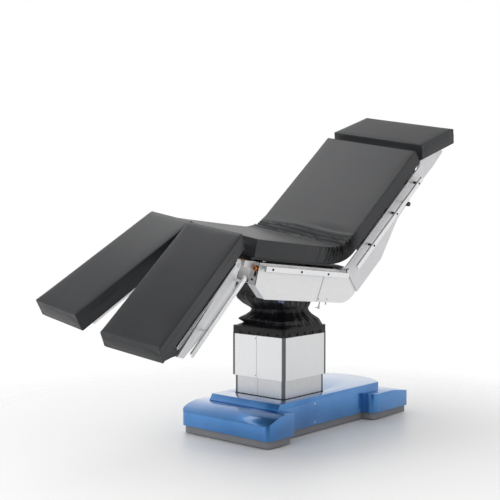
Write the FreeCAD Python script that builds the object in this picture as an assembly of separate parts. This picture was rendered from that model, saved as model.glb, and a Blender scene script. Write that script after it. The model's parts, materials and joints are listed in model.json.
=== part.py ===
"""Operating table: base, telescoping column, tilting seat section, back, head and split leg sections.

Millimetres. +X runs towards the head end, +Z up, and the origin lies on the floor on the column's axis.
The near side, where the patient's left arm lies, is -Y and is called left.
"""
import FreeCAD, Part
import math
import os

V = FreeCAD.Vector
LEFT, RIGHT = -1, 1
SIDES = {"left": LEFT, "right": RIGHT}

# Posture at rest, in degrees
TREND = 5.6           # head end down
LATERAL = 9.65        # left side down
BACK_ANGLE = 50.3     # back section above the seat
HEAD_ANGLE = 25.1     # head section dropped from the back's line
LEG_PITCH = {LEFT: 40.2, RIGHT: 38.1}
LEG_SPREAD = {LEFT: 17.0, RIGHT: 0.0}

# Travel of every joint, counted from the level and closed posture
LIFT_RANGE = (-75.0, 175.0)
COVER_RATIO = 0.5
TREND_LIMIT = 25.0
LATERAL_LIMIT = 20.0
BACK_LIMITS = (-30.0, 80.0)
HEAD_LIMITS = (-45.0, 7.0)
LEG_PITCH_LIMITS = (-90.0, 0.0)
LEG_SPREAD_LIMIT = 40.0
BUTTON_TRAVEL = 4.0
KNOB_TURN = 90.0

# Clearances
SHAFT_GAP = 0.05      # radial, shaft in its bore
SLIDE_GAP = 0.6       # between telescoping guides
COVER_GAP = 2.6       # between telescoping covers
FIT_GAP = 0.2         # around what is set into a hole
SIDE_GAP = 0.5        # between plates that swing past each other
SOFT_GAP = 0.4        # between pads that face each other
SEAM = 0.6            # between two halves of a cover
BEYOND = 1000.0       # reach of a cutting block, past every piece

# Base
BASE_FRONT = -393.0
BASE_REAR = 710.0
LOBE_HALF = 268.0
MID_HALF = 205.0
FRONT_LOBE_END = -221.0
REAR_LOBE_START = 390.0
LOBE_CORNER = 38.0
SHELL_BOTTOM = 37.0
SHELL_WALL = 4.0
DECK_TOP = 167.0
DECK_FRONT = -242.0
DECK_BEVEL = 18.0
DECK_BEVEL_DROP = 27.0
DECK_SIDE_END = 520.0
DECK_REAR_BULGE = 88.0
FRONT_LOBE_LIP = 98.0
FRONT_LOBE_ARCH = (58.0, 127.0)
FRONT_LOBE_CREST = 131.0
FRONT_LOBE_HIGH = 138.0
REAR_LOBE_HIGH = 129.0
REAR_LOBE_LIP = 106.0
REAR_LOBE_FLAT = 150.0
REAR_LIP_RUN = 14.0
REAR_LIP_RISE = 4.0
REAR_LIP_DROP = 8.0
PLINTH_INSET = 12.0
PLINTH_WALL = 5.0
PLINTH_BOTTOM = 4.0
PLINTH_OVERLAP = 12.0
FRAME_INSET = 24.0
FRAME_BOTTOM = 12.0
FRAME_THICK = 25.0
FOOT_RADIUS = 28.0
FOOT_X = (-320.0, 620.0)
FOOT_Y = 190.0
BALLAST_LENGTH = 110.0
BALLAST_HALF = 190.0
BALLAST_HEIGHT = 38.0
BALLAST_X = (-300.0, 600.0)
TAB_HALF = 12.0
TAB_RISE = 4.0
TAB_HEIGHT = 12.0
SIDE_SCREW_X = 5.0
SIDE_SCREW_Z = (50.0, 136.0)
SCREW_RADIUS = 4.0
SCREW_STANDOFF = 1.2
BATTERY = (150.0, 75.0, 62.0)
BATTERY_X = 250.0
BATTERY_Y = 60.0
CONTROL_BOX = (120.0, 220.0, 70.0)
CONTROL_X = 400.0
INLET_SIZE = (26.0, 52.0, 34.0)
INLET_Z = 78.0
INLET_WALL = 4.0
INLET_FLOOR = 6.0
INLET_PIN_RADIUS = 2.0
INLET_PIN_PITCH = 9.0
INLET_PIN_SHORT = 9.0
STUD_Y = 62.0
STUD_RADIUS = 3.0
STUD_LENGTH = 14.0
STUD_ROOT = 10.0
STUD_ROOT_RADIUS = 4.0

# Column
UPPER_HALF = 154.5
UPPER_WALL = 2.0
UPPER_CORNER = 12.0
MIDDLE_WALL = 1.9
MIDDLE_BOTTOM = 256.0
MIDDLE_TOP = 396.0
GLIDE_STRIP = 12.0
LOWER_WALL = 1.5
LOWER_TOP = 360.0
COLUMN_CORNER = 10.0
COVER_BOTTOM = 250.5
COVER_TOP = 450.0
COVER_SEAM_Y = 8.0
SEAL_WIDTH = 4.0
SEAL_HEIGHT = 9.0
SEAL_PROUD = 1.5
GUIDE_HALF = 60.0
GUIDE_WALL = 8.0
GUIDE_CORNER = 8.0
INNER_CORNER = 7.0
GUIDE_TOP = 330.0
INNER_BOTTOM = 115.0
HEAD_PLATE_THICK = 10.0
HEAD_PLATE_TOP = 446.0
BARREL_RADIUS = 24.0
BARREL_TOP = 340.0
ROD_RADIUS = 12.0
COLLAR_TOP = 483.0
COLLAR_SKIRT = 5.0
COLLAR_WALL = 3.0
COLLAR_LUG = (16.0, 2.0, 9.0)
COLLAR_LUG_COUNT = 4
POST_RADIUS = 38.0

# Tilt bearings
TILT_Z = 690.0
TRUNNION_RADIUS = 14.0
YOKE_HALF = 45.0
YOKE_HEIGHT = 25.0
BEARING_IN = 52.0
BEARING_OUT = 76.0
BEARING_RADIUS = 26.0
FORK_DROP = 56.0
FORK_BASE = 14.0
DRIVE_RADIUS = 24.0
DRIVE_LENGTH = 44.0
LATERAL_DRIVE_LENGTH = 20.0
RING_DROP = 90.0
RING_HALF = 104.0
RING_ROD = 3.0

# Bellows: height above the floor against half width
BELLOWS_WALL = 2.0
BELLOWS_FOOT = (COLLAR_TOP, 119.0)
BELLOWS_LOWER = (BELLOWS_FOOT, (513.0, 139.0), (548.0, 104.0), (560.0, 99.0), (592.0, 106.0), (640.0, 106.0))
BELLOWS_UPPER = ((18.0, 141.0), (50.0, 150.0), (120.0, 150.0))
BELLOWS_TOP_HALF = 150.0

# Seat section, along u from the tilt centre, v across and w up from the pads' lower face
SEAT_SHIFT = -3.0
PAD_PLANE = 129.7
PAD_THICK = 78.0
PAD_HALF = 272.0
PAD_EDGE = 8.0
SEAT_FRONT = -519.4
SEAT_PAD_END = 115.0
SEAT_BOARD_FRONT = 5.0
SEAT_BOARD_REAR = 15.0
BOARD_THICK = 9.0
BOARD_HALF = 252.0
BEAM_FRONT = -460.0
BEAM_TOP = -20.0
BEAM_BOTTOM = -173.5
BEAM_NOSE_W = -118.0
BEAM_NOSE_U = -386.0
BEAM_IN = 213.0
BEAM_OUT = 254.0
BEAM_WALL = 4.0
PANEL_THICK = 3.0
PANEL_SEAM_U = -14.0
DRUM_U = 150.0
DRUM_W = -45.0
DRUM_RADIUS = 128.5
DRUM_END = -30.0
BEAM_REAR = ((193.0, -54.0), (146.0, BEAM_TOP))
HIP_U = 128.0
HIP_W = -20.0
HIP_BOSS = 18.0
HIP_SHAFT_RADIUS = 10.0
HIP_DRIVE_RADIUS = 14.0
HIP_DRIVE_LENGTH = 38.0
CROSS_LENGTH = 58.0
CROSS_TOP = -9.0
CROSS_BOTTOM = -50.0
CROSS_WALL = 5.0
END_CROSS_U = (-450.0, 40.0)
HANGER_HALF = 30.0
UNDERPAN_THICK = 3.0
UNDERPAN_RISE = 1.0
UNDERPAN_LEDGE = 10.0
UNDERPAN_FRONT = -380.0
UNDERPAN_REAR = 165.0
RAIL_OUT = 295.0
RAIL_THICK = 10.0
RAIL_HEIGHT = 25.0
RAIL_EDGE = 1.5
SEAT_RAIL_U = (-456.0, 129.0)
SEAT_RAIL_W = -39.0
SEAT_RAIL_SCREWS = (-412.0, -220.0, -28.0)
SPACER_RADIUS = 6.0
RAIL_SCREW_RADIUS = 5.0
RAIL_SCREW_HEAD = 1.5
WINDOW_U = -245.0
WINDOW_V = -235.0
WINDOW_RADIUS = 12.0
WINDOW_DROP = 15.0
SOCKET_U = 28.0
SOCKET_PIN_U = 74.0
SOCKET_DROP = 32.0
SOCKET_PIN_RADIUS = 3.0
LEVER_BALL_RADIUS = 6.0
LEVER_BALL_RISE = 2.0
LEVER_STALK_RISE = 5.0
LEVER_REACH = 26.0
LEVER_LENGTH = 24.0
LEVER_RADIUS = 2.0
BUTTON_V = 244.0
BUTTON_W = -46.0
BUTTON_RADIUS = 9.5
BUTTON_PROUD = 8.0
BUTTON_STEM = 5.0
BUTTON_DEPTH = 22.0
BUTTON_PAD = (10.0, 16.0, 14.0)
BUTTON_BORE = 12.0
BUTTON_GAP = 0.3
BUTTON_ROOT = 1.0
NOSE_SLOT_W = -96.0
NOSE_SLOT = (14.0, 7.0)
NOSE_SLOT_OFFSET = 6.0

# Back section, along a from the hip axis and n out of the pads' side
HEAD_A = 719.0        # head hinge, which the back's length follows
HEAD_N = 7.0
BACK_PAD_RISE = 26.0
BACK_PAD_START = 100.0
BACK_PAD_END = HEAD_A - 13.0
BACK_BOARD_START = BACK_PAD_START + 10.0
BACK_BOARD_END = BACK_PAD_END - 6.0
HIP_PAD_FOOT = 18.0
CHEEK_THICK = 5.5
CHEEK_TOP = 5.0
CHEEK_FOOT = 13.0
CHEEK_OUTLINE = ((CHEEK_FOOT, -163.0), (233.0, -166.0), (431.0, -92.0), (HEAD_A - 159.0, -82.0),
                 (HEAD_A - 19.0, -34.0))
CHEEK_HEAD_LOW = 14.0
CHEEK_HEAD_HIGH = 8.0
CHEEK_HEAD_CUT = 16.0
HIP_LINK_DROP = 20.0
HIP_CAP_STEP = 5.0
HIP_CAP_HEIGHT = 2.5
HEAD_BOSS = 14.0
BACK_TUBES_A = (190.0, 400.0, HEAD_A - 119.0)
BACK_TUBE_RADIUS = 14.0
BACK_TUBE_N = -14.0
CARRIER_HALF = 10.0
CARRIER_INSET = 20.0
CARRIER_SINK = 8.0
BACK_RAIL_A = (53.0, HEAD_A - 59.0)
BACK_RAIL_N = -31.0
BACK_RAIL_SCREWS = (199.0, 412.0, HEAD_A - 94.0)
KNOB_A = HEAD_A - 201.0
KNOB_N = -71.0
KNOB_RADIUS = 11.0
KNOB_LENGTH = 24.0
KNOB_SHAFT = 4.0
KNOB_GAP = 0.3
KNOB_FLUTE_RADIUS = 2.4
KNOB_FLUTE_COUNT = 6
KNOB_STEM_SINK = 4.0
KNOB_STEM_LENGTH = CHEEK_THICK + 6.0

# Head section
HEAD_PAD_RISE = 20.0
HEAD_PAD_LENGTH = 285.0
GUSSET = ((-6.0, 15.0), (186.0, 15.0), (200.0, 1.0), (110.0, -48.0), (-10.0, -98.0), (-30.0, -28.0))
GUSSET_THICK = 4.0
GUSSET_BOSS = 5.0
HEAD_BOARD_START = 6.0
HEAD_BOARD_END = HEAD_PAD_LENGTH - 10.0
HEAD_PIN_PROUD = 2.0
HEAD_PIN_RADIUS = 8.0
HEAD_TUBE_X = (60.0, 150.0)
HEAD_TUBE_RADIUS = 8.0

# Leg sections, along x towards the seat, y out from the spread pin and z up from the pitch axis
LEG_U = -608.0
LEG_W = -38.6
SPREAD_V = 195.0
LEG_PAD_HEAD = 68.5
LEG_PAD_LENGTH = 672.0
LEG_PAD_OUT = 72.5
LEG_PAD_WIDTH = 260.0
LEG_PAD_RISE = 39.0
LEG_PAD_CHAMFER = 20.0
LEG_FOOT = LEG_PAD_HEAD - LEG_PAD_LENGTH    # pad's foot end, which beams, rail and board follow
EYE_RADIUS = 15.0
EYE_HALF = 14.0
SPREAD_PIN_RADIUS = 8.0
NECK_HALF = 10.0
NECK_HEIGHT = 11.0
COUPLING_FRONT = -526.0
COUPLING_V = (165.0, 232.0)
COUPLING_W = (-46.0, -19.0)
CATCH = (14.0, 46.0, 2.5)
CATCH_INSET = 4.0
TONGUE_LENGTH = 24.0
TONGUE_INSET_V = 2.0
TONGUE_INSET_W = 4.0
SADDLE_LENGTH = 10.0
BRACKET_WEB = (-25.0, -18.0)
BRACKET_HEAD = 12.0
BRACKET_HALF = 45.0
BRACKET_CHEEK = 10.0
BRACKET_HEIGHT = 19.0
BRACKET_EAR_GAP = 0.4
TRUNNION_LEG = 10.0
LEG_BEAM_OUT = 64.5
LEG_BEAM_THICK = 6.0
LEG_BEAM_IN = 53.0
LEG_BOSS = 26.0
LEG_BEAM_END = LEG_FOOT + 98.5
LEG_BEAM_TOP = ((-16.0, 18.0), (LEG_BEAM_END, -22.0))
LEG_BEAM_TIP = (LEG_BEAM_END - 8.0, -18.0)
LEG_BEAM_LOW = ((LEG_BEAM_END + 29.0, -65.0), (-50.0, -65.0))
LEG_BEAM_HEEL = -8.0
LEG_TUBES_X = (-75.0, LEG_FOOT + 303.5)
LEG_TUBE_RADIUS = 11.0
LEG_TUBE_Z = -20.0
LEG_PLATE_THICK = 4.5
LEG_PLATE_INSET = 8.0
LEG_PLATE_FOOT = LEG_FOOT + 6.0
LEG_PLATE_HEAD = LEG_PAD_HEAD - 7.0
LEG_TAIL_END = LEG_FOOT + 8.0
LEG_TAIL_MID = LEG_FOOT + 44.0
LEG_TAIL_SAG = 20.0
LEG_RAIL_X = (LEG_FOOT + 137.5, -10.0)
LEG_RAIL_Z = -49.0
LEG_RAIL_SCREWS = (LEG_FOOT + 271.5, -34.0)
WEDGE_START = -42.0
WEDGE_WALL = 5.0


def box(x, y, z):
    """Box between the two limits given on each axis, in either order."""
    lows = [min(pair) for pair in (x, y, z)]
    sizes = [abs(pair[1] - pair[0]) for pair in (x, y, z)]
    return Part.makeBox(sizes[0], sizes[1], sizes[2], V(*lows))


def cylinder(start, direction, radius, length):
    return Part.makeCylinder(radius, length, V(*start), V(*direction))


def side_prism(points, y):
    """Outline in the X-Z plane, drawn out between two values of y."""
    low, high = min(y), max(y)
    wire = Part.makePolygon([V(px, low, pz) for px, pz in points] + [V(points[0][0], low, points[0][1])])
    return Part.Face(wire).extrude(V(0, high - low, 0))


def flat_prism(points, z):
    """Outline in the X-Y plane, drawn out between two values of z."""
    wire = Part.makePolygon([V(px, py, z[0]) for px, py in points] + [V(points[0][0], points[0][1], z[0])])
    return Part.Face(wire).extrude(V(0, 0, z[1] - z[0]))


def square_post(half, corner, z):
    """Square post on the column's axis with rounded upright edges."""
    post = box((-half, half), (-half, half), z)
    upright = [edge for edge in post.Edges if abs(edge.tangentAt(edge.FirstParameter).z) > 0.9]
    return post.makeFillet(corner, upright)


def square_tube(half, wall, corner, z):
    hollow = square_post(half - wall, max(corner - wall, 1.0), (z[0] - 1, z[1] + 1))
    return square_post(half, corner, z).cut(hollow)


def fuse(shapes):
    """One solid from pieces that touch or overlap."""
    whole = shapes[0].multiFuse(list(shapes[1:])) if len(shapes) > 1 else shapes[0]
    return whole.removeSplitter()


def group(shapes):
    return Part.makeCompound(list(shapes))


def mirrored(shape):
    """The same piece on the other side of the X-Z plane."""
    return shape.mirror(V(0, 0, 0), V(0, 1, 0))


def both_sides(shape):
    return group([shape, mirrored(shape)])


def on_side(shape, side):
    """A piece drawn for the right side, put on the side asked for."""
    return shape if side == RIGHT else mirrored(shape)


def soft_block(x, y, z, edge=PAD_EDGE):
    """Closed pad with rounded long edges."""
    block = box(x, y, z)
    top = [item for item in block.Edges
           if item.BoundBox.ZMin > max(z) - 0.01]
    return block.makeFillet(edge, top)


def turned(position, axis, angle):
    return FreeCAD.Placement(V(*position), FreeCAD.Rotation(V(*axis), angle))


def yoke_frame():
    """Tilt centre, turned with the trendelenburg tilt."""
    return turned((0, 0, TILT_Z), (0, 1, 0), TREND)


def lateral_frame():
    """Tilt centre, turned with both tilts."""
    return yoke_frame().multiply(turned((0, 0, 0), (1, 0, 0), LATERAL))


def seat_frame():
    """Seat section's frame: w is zero on the lower face of the pads."""
    return lateral_frame().multiply(turned((SEAT_SHIFT, 0, PAD_PLANE), (0, 0, 1), 0))


def back_frame():
    """Back section's frame, on the hip axis."""
    return seat_frame().multiply(turned((HIP_U, 0, HIP_W), (0, 1, 0), -BACK_ANGLE))


def head_frame():
    return back_frame().multiply(turned((HEAD_A, 0, HEAD_N), (0, 1, 0), HEAD_ANGLE))


def spread_frame(side):
    """Frame of a leg's coupling bracket, on its spread pin."""
    return seat_frame().multiply(turned((LEG_U, side * SPREAD_V, LEG_W), (0, 0, 1), -side * LEG_SPREAD[side]))


def leg_frame(side):
    return spread_frame(side).multiply(turned((0, 0, 0), (0, 1, 0), -LEG_PITCH[side]))


def lower_half():
    """Half width of the lower column cover, which slides inside the middle one."""
    return middle_half() - MIDDLE_WALL - COVER_GAP


def middle_half():
    return UPPER_HALF - UPPER_WALL - COVER_GAP


def inner_half():
    """Half width of the upper guide tube, which slides inside the lower one."""
    return GUIDE_HALF - GUIDE_WALL - SLIDE_GAP


def frame_top():
    return FRAME_BOTTOM + FRAME_THICK


def lobe_outline(inset, start, end, half, z, rounded):
    """Slab over one lobe, with rounded upright corners at the ends that are asked for."""
    slab = box((start, end), (-half + inset, half - inset), z)
    corners = [edge for edge in slab.Edges
               if abs(edge.tangentAt(edge.FirstParameter).z) > 0.9
               and any(abs(edge.BoundBox.XMin - x) < 0.01 for x in rounded)]
    return slab.makeFillet(LOBE_CORNER - inset, corners)


def deck_plan(inset, z):
    """Raised deck in plan: straight sides and a rear edge that bulges in one arc."""
    half = MID_HALF - inset
    front = DECK_FRONT + inset
    side_end = DECK_SIDE_END - inset
    bulge = DECK_SIDE_END + DECK_REAR_BULGE - inset
    low = [V(side_end, -half, z[0]), V(front, -half, z[0]), V(front, half, z[0]), V(side_end, half, z[0])]
    edges = [Part.LineSegment(low[i], low[i + 1]).toShape() for i in range(3)]
    edges.append(Part.Arc(low[3], V(bulge, 0, z[0]), low[0]).toShape())
    return Part.Face(Part.Wire(edges)).extrude(V(0, 0, z[1] - z[0]))


def front_lobe(inset, bottom):
    """Front lobe from side to side: a low lip, then a top that arches up to the deck."""
    front_x, end_x = BASE_FRONT + inset, FRONT_LOBE_END - inset
    crest_z = FRONT_LOBE_HIGH - inset
    side = [V(x, -LOBE_HALF, z) for x, z in (
        (end_x, crest_z), (end_x, bottom), (front_x, bottom), (front_x, FRONT_LOBE_LIP - inset))]
    arch = V(BASE_FRONT + FRONT_LOBE_ARCH[0], -LOBE_HALF, FRONT_LOBE_ARCH[1] - inset)
    crest = V(BASE_FRONT + FRONT_LOBE_CREST, -LOBE_HALF, crest_z)
    edges = [Part.LineSegment(side[i], side[i + 1]).toShape() for i in range(3)]
    edges.append(Part.Arc(side[3], arch, crest).toShape())
    edges.append(Part.LineSegment(crest, side[0]).toShape())
    return Part.Face(Part.Wire(edges)).extrude(V(0, 2 * LOBE_HALF, 0))


def base_body(inset, bottom):
    """Outer form of the base cover, or its inner form when inset by the wall."""
    front_x, rear_x = BASE_FRONT + inset, BASE_REAR - inset
    front = front_lobe(inset, bottom).common(lobe_outline(inset, front_x, FRONT_LOBE_END, LOBE_HALF, (bottom, DECK_TOP),
                                      (front_x,)))
    rear = side_prism([(REAR_LOBE_START + inset, bottom), (REAR_LOBE_START + inset, REAR_LOBE_HIGH - inset),
                       (BASE_REAR - REAR_LOBE_FLAT, REAR_LOBE_HIGH - inset),
                       (rear_x - REAR_LIP_RUN, REAR_LOBE_LIP + REAR_LIP_RISE - inset),
                       (rear_x, REAR_LOBE_LIP - REAR_LIP_DROP - inset),
                       (rear_x, bottom)], (-LOBE_HALF, LOBE_HALF))
    rear = rear.common(lobe_outline(inset, REAR_LOBE_START + inset, rear_x, LOBE_HALF, (bottom, DECK_TOP),
                                    (REAR_LOBE_START + inset, rear_x)))
    deck_bottom = DECK_TOP - DECK_BEVEL_DROP
    deck = deck_plan(inset, (bottom, DECK_TOP - inset))
    bevel = side_prism([(DECK_FRONT + inset, DECK_TOP - inset),
                        (DECK_FRONT - DECK_BEVEL + inset, deck_bottom),
                        (DECK_FRONT + inset, deck_bottom - DECK_BEVEL)],
                       (-MID_HALF + inset, MID_HALF - inset))
    return fuse([front, rear, deck, bevel])


def column_hole(clearance, z):
    half = lower_half() + clearance
    return square_post(half, COLUMN_CORNER, z)


def base_parts():
    hollow = base_body(SHELL_WALL, SHELL_BOTTOM - 1)
    hole = column_hole(SEAL_WIDTH, (SHELL_BOTTOM, DECK_TOP + 1))
    inlet_y = INLET_SIZE[1] / 2
    inlet_z = (INLET_Z - INLET_SIZE[2] / 2, INLET_Z + INLET_SIZE[2] / 2)
    inlet_hole = box((BASE_REAR - SHELL_WALL - 5, BASE_REAR + 1), (-inlet_y - FIT_GAP, inlet_y + FIT_GAP),
                     (inlet_z[0] - FIT_GAP, inlet_z[1] + FIT_GAP))
    stud_hole = cylinder((BASE_REAR - STUD_ROOT, STUD_Y, INLET_Z), (1, 0, 0), STUD_ROOT_RADIUS + FIT_GAP,
                         STUD_ROOT + 1)
    cover = base_body(0, SHELL_BOTTOM).cut(hollow).cut(hole).cut(inlet_hole).cut(stud_hole)

    plinth_top = SHELL_BOTTOM + PLINTH_OVERLAP
    ring = plinth_body(PLINTH_INSET, (PLINTH_BOTTOM, plinth_top))
    core = plinth_body(PLINTH_INSET + PLINTH_WALL, (PLINTH_BOTTOM - 1, plinth_top + 1))

    frame = plinth_body(FRAME_INSET, (FRAME_BOTTOM, frame_top()))
    ballast = [box((centre - BALLAST_LENGTH / 2, centre + BALLAST_LENGTH / 2),
                   (-BALLAST_HALF, BALLAST_HALF), (frame_top(), frame_top() + BALLAST_HEIGHT))
               for centre in BALLAST_X]
    tab_y = (LOBE_HALF - FRAME_INSET, LOBE_HALF - PLINTH_INSET - PLINTH_WALL)
    tab_z = (FRAME_BOTTOM + TAB_RISE, FRAME_BOTTOM + TAB_RISE + TAB_HEIGHT)
    tabs = [box((x - TAB_HALF, x + TAB_HALF), (side * tab_y[0], side * tab_y[1]), tab_z)
            for x in BALLAST_X for side in SIDES.values()]
    feet = [cylinder((x, side * FOOT_Y, 0), (0, 0, 1), FOOT_RADIUS, FRAME_BOTTOM)
            for x in FOOT_X for side in SIDES.values()]
    screws = [cylinder((SIDE_SCREW_X, side * MID_HALF, z), (0, side, 0), SCREW_RADIUS, SCREW_STANDOFF)
              for z in SIDE_SCREW_Z for side in SIDES.values()]
    seal = column_hole(SEAL_WIDTH, (DECK_TOP - SEAL_HEIGHT, DECK_TOP + SEAL_PROUD)).cut(
        column_hole(0, (0, DECK_TOP + 10)))
    return {
        "base_frame": fuse([frame] + ballast + tabs),
        "base_plinth": ring.cut(core),
        "base_cover": cover,
        "base_feet": group(feet),
        "base_cover_screws": group(screws),
        "deck_seal": seal,
        "power_packs": group(power_packs()),
        "power_inlet": power_inlet(inlet_y, inlet_z),
    }


def plinth_body(inset, z):
    """Ground plan of the base, inset all round, between two heights."""
    front = lobe_outline(inset, BASE_FRONT + inset, FRONT_LOBE_END - inset, LOBE_HALF, z,
                         (BASE_FRONT + inset,))
    rear = lobe_outline(inset, REAR_LOBE_START + inset, BASE_REAR - inset, LOBE_HALF, z,
                        (REAR_LOBE_START + inset, BASE_REAR - inset))
    middle = box((FRONT_LOBE_END - inset - 1, REAR_LOBE_START + inset + 1),
                 (-MID_HALF + inset, MID_HALF - inset), z)
    return fuse([front, middle, rear])


def power_packs():
    length, width, height = BATTERY
    floor = frame_top()
    packs = [box((BATTERY_X - length / 2, BATTERY_X + length / 2),
                 (side * BATTERY_Y - width / 2, side * BATTERY_Y + width / 2), (floor, floor + height))
             for side in SIDES.values()]
    box_length, box_width, box_height = CONTROL_BOX
    packs.append(box((CONTROL_X - box_length / 2, CONTROL_X + box_length / 2),
                     (-box_width / 2, box_width / 2), (floor, floor + box_height)))
    return packs


def power_inlet(half_width, z):
    """Mains inlet with its recess, and the earth stud beside it."""
    depth = INLET_SIZE[0]
    body = box((BASE_REAR - depth, BASE_REAR), (-half_width, half_width), z)
    recess = box((BASE_REAR - depth + INLET_FLOOR, BASE_REAR + 1),
                 (-half_width + INLET_WALL, half_width - INLET_WALL), (z[0] + INLET_WALL, z[1] - INLET_WALL))
    pins = [cylinder((BASE_REAR - depth + INLET_FLOOR - 1, index * INLET_PIN_PITCH, INLET_Z), (1, 0, 0),
                     INLET_PIN_RADIUS, depth - INLET_PIN_SHORT) for index in (-1, 0, 1)]
    root = cylinder((BASE_REAR - STUD_ROOT, STUD_Y, INLET_Z), (1, 0, 0), STUD_ROOT_RADIUS, STUD_ROOT)
    stud = cylinder((BASE_REAR, STUD_Y, INLET_Z), (1, 0, 0), STUD_RADIUS, STUD_LENGTH)
    return group([fuse([body.cut(recess)] + pins), fuse([root, stud])])


def cover_halves(half, wall, corner, z):
    """Square cover in two bent sheets that meet on the foot and head faces."""
    tube = square_tube(half, wall, corner, z)
    reach = half + 1
    near = box((-reach, reach), (-reach, COVER_SEAM_Y - SEAM / 2), (z[0] - 1, z[1] + 1))
    far = box((-reach, reach), (COVER_SEAM_Y + SEAM / 2, reach), (z[0] - 1, z[1] + 1))
    return group([tube.common(near), tube.common(far)])


def middle_cover():
    """Middle column cover, with a glide strip inside its foot and one outside its head."""
    half = middle_half()
    reach = COVER_GAP - SLIDE_GAP
    tube = square_tube(half, MIDDLE_WALL, COLUMN_CORNER, (MIDDLE_BOTTOM, MIDDLE_TOP))
    foot = square_tube(half, MIDDLE_WALL + reach, COLUMN_CORNER, (MIDDLE_BOTTOM, MIDDLE_BOTTOM + GLIDE_STRIP))
    head = square_tube(half + reach, MIDDLE_WALL + reach, COLUMN_CORNER + reach,
                       (MIDDLE_TOP - GLIDE_STRIP, MIDDLE_TOP))
    return fuse([tube, foot, head])


def fixed_column_parts():
    bottom = frame_top()
    guide = square_tube(GUIDE_HALF, GUIDE_WALL, GUIDE_CORNER, (bottom, GUIDE_TOP))
    bore = cylinder((0, 0, bottom + 1), (0, 0, 1), ROD_RADIUS + SHAFT_GAP, BARREL_TOP)
    barrel = cylinder((0, 0, bottom), (0, 0, 1), BARREL_RADIUS, BARREL_TOP - bottom).cut(bore)
    return {
        "column_guide": guide,
        "lift_cylinder": barrel,
        "column_cover_lower": cover_halves(lower_half(), LOWER_WALL, COLUMN_CORNER, (bottom, LOWER_TOP)),
    }


def collar():
    """Rubber collar that grips the top of the column cover, with lugs along its lower edge."""
    outer = UPPER_HALF + COLLAR_WALL
    low = COVER_TOP - COLLAR_SKIRT
    skirt = square_post(outer, UPPER_CORNER + COLLAR_WALL, (low, COLLAR_TOP))
    pocket = square_post(UPPER_HALF, UPPER_CORNER, (low - 1, COVER_TOP))
    hollow = square_post(UPPER_HALF - COLLAR_WALL, UPPER_CORNER, (COVER_TOP - 1, COLLAR_TOP - COLLAR_WALL))
    throat = square_post(BELLOWS_FOOT[1] - BELLOWS_WALL - 1, UPPER_CORNER, (COVER_TOP - 1, COLLAR_TOP + 1))
    width, proud, height = COLLAR_LUG
    lugs = []
    for index in range(COLLAR_LUG_COUNT):
        along = (index - (COLLAR_LUG_COUNT - 1) / 2) * 2 * outer / (COLLAR_LUG_COUNT + 0.6)
        lug = box((along - width / 2, along + width / 2), (-outer - proud, -outer + 1), (low, low + height))
        for quarter in range(4):
            turned_lug = lug.copy()
            turned_lug.rotate(V(0, 0, 0), V(0, 0, 1), 90 * quarter)
            lugs.append(turned_lug)
    return fuse([skirt.cut(pocket).cut(hollow).cut(throat)] + lugs)


def moving_column_parts():
    plate_low = HEAD_PLATE_TOP - HEAD_PLATE_THICK
    inner = square_tube(inner_half(), GUIDE_WALL, INNER_CORNER, (INNER_BOTTOM, plate_low))
    plate = square_post(UPPER_HALF - UPPER_WALL, UPPER_CORNER, (plate_low, HEAD_PLATE_TOP))
    rod_bottom = INNER_BOTTOM
    rod = cylinder((0, 0, rod_bottom), (0, 0, 1), ROD_RADIUS, plate_low - rod_bottom)
    fork_base_top = TILT_Z - FORK_DROP
    post = cylinder((0, 0, HEAD_PLATE_TOP), (0, 0, 1), POST_RADIUS, fork_base_top - FORK_BASE - HEAD_PLATE_TOP)
    base = box((-POST_RADIUS, POST_RADIUS), (-BEARING_OUT, BEARING_OUT),
               (fork_base_top - FORK_BASE, fork_base_top))
    ears = []
    for side in SIDES.values():
        ear = bearing_ear(fork_base_top)
        ears.append(on_side(ear, side))
    drive = cylinder((0, BEARING_OUT, TILT_Z), (0, 1, 0), DRIVE_RADIUS, DRIVE_LENGTH)
    return {
        "column_inner_guide": inner,
        "column_head": fuse([plate, post, base, rod] + ears),
        "column_cover_upper": cover_halves(UPPER_HALF, UPPER_WALL, UPPER_CORNER, (COVER_BOTTOM, COVER_TOP)),
        "bellows_collar": collar(),
        "trend_drive": drive,
        "bellows_lower": bellows_lower(),
    }


def bearing_ear(foot):
    """Upright ear with the bore of one trunnion, from a foot level up to the tilt centre."""
    stem = box((-BEARING_RADIUS, BEARING_RADIUS), (BEARING_IN, BEARING_OUT), (foot, TILT_Z))
    crown = cylinder((0, BEARING_IN, TILT_Z), (0, 1, 0), BEARING_RADIUS, BEARING_OUT - BEARING_IN)
    bore = cylinder((0, BEARING_IN - 1, TILT_Z), (0, 1, 0), TRUNNION_RADIUS + SHAFT_GAP,
                    BEARING_OUT - BEARING_IN + 2)
    return stem.fuse(crown).cut(bore)


def square_wire(half, z):
    corners = [(-half, -half), (half, -half), (half, half), (-half, half), (-half, -half)]
    return Part.makePolygon([V(x, y, z) for x, y in corners])


def sleeve(outer_wires, inner_wires):
    outer = Part.makeLoft(outer_wires, True, True)
    inner = Part.makeLoft(inner_wires, True, True)
    return outer.cut(inner)


def above(placement, z):
    """Everything over a level of a tilted frame, as a block."""
    block = box((-BEYOND, BEYOND), (-BEYOND, BEYOND), (z, z + BEYOND))
    block.Placement = placement
    return block


def bellows_lower():
    """Square rubber sleeve from the collar up to the wire frame on the tilt yoke."""
    outer = [square_wire(half, z) for z, half in BELLOWS_LOWER]
    inner = [square_wire(half - BELLOWS_WALL, z) for z, half in BELLOWS_LOWER]
    return sleeve(outer, inner).cut(above(yoke_frame(), -RING_DROP - RING_ROD - SOFT_GAP))


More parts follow.
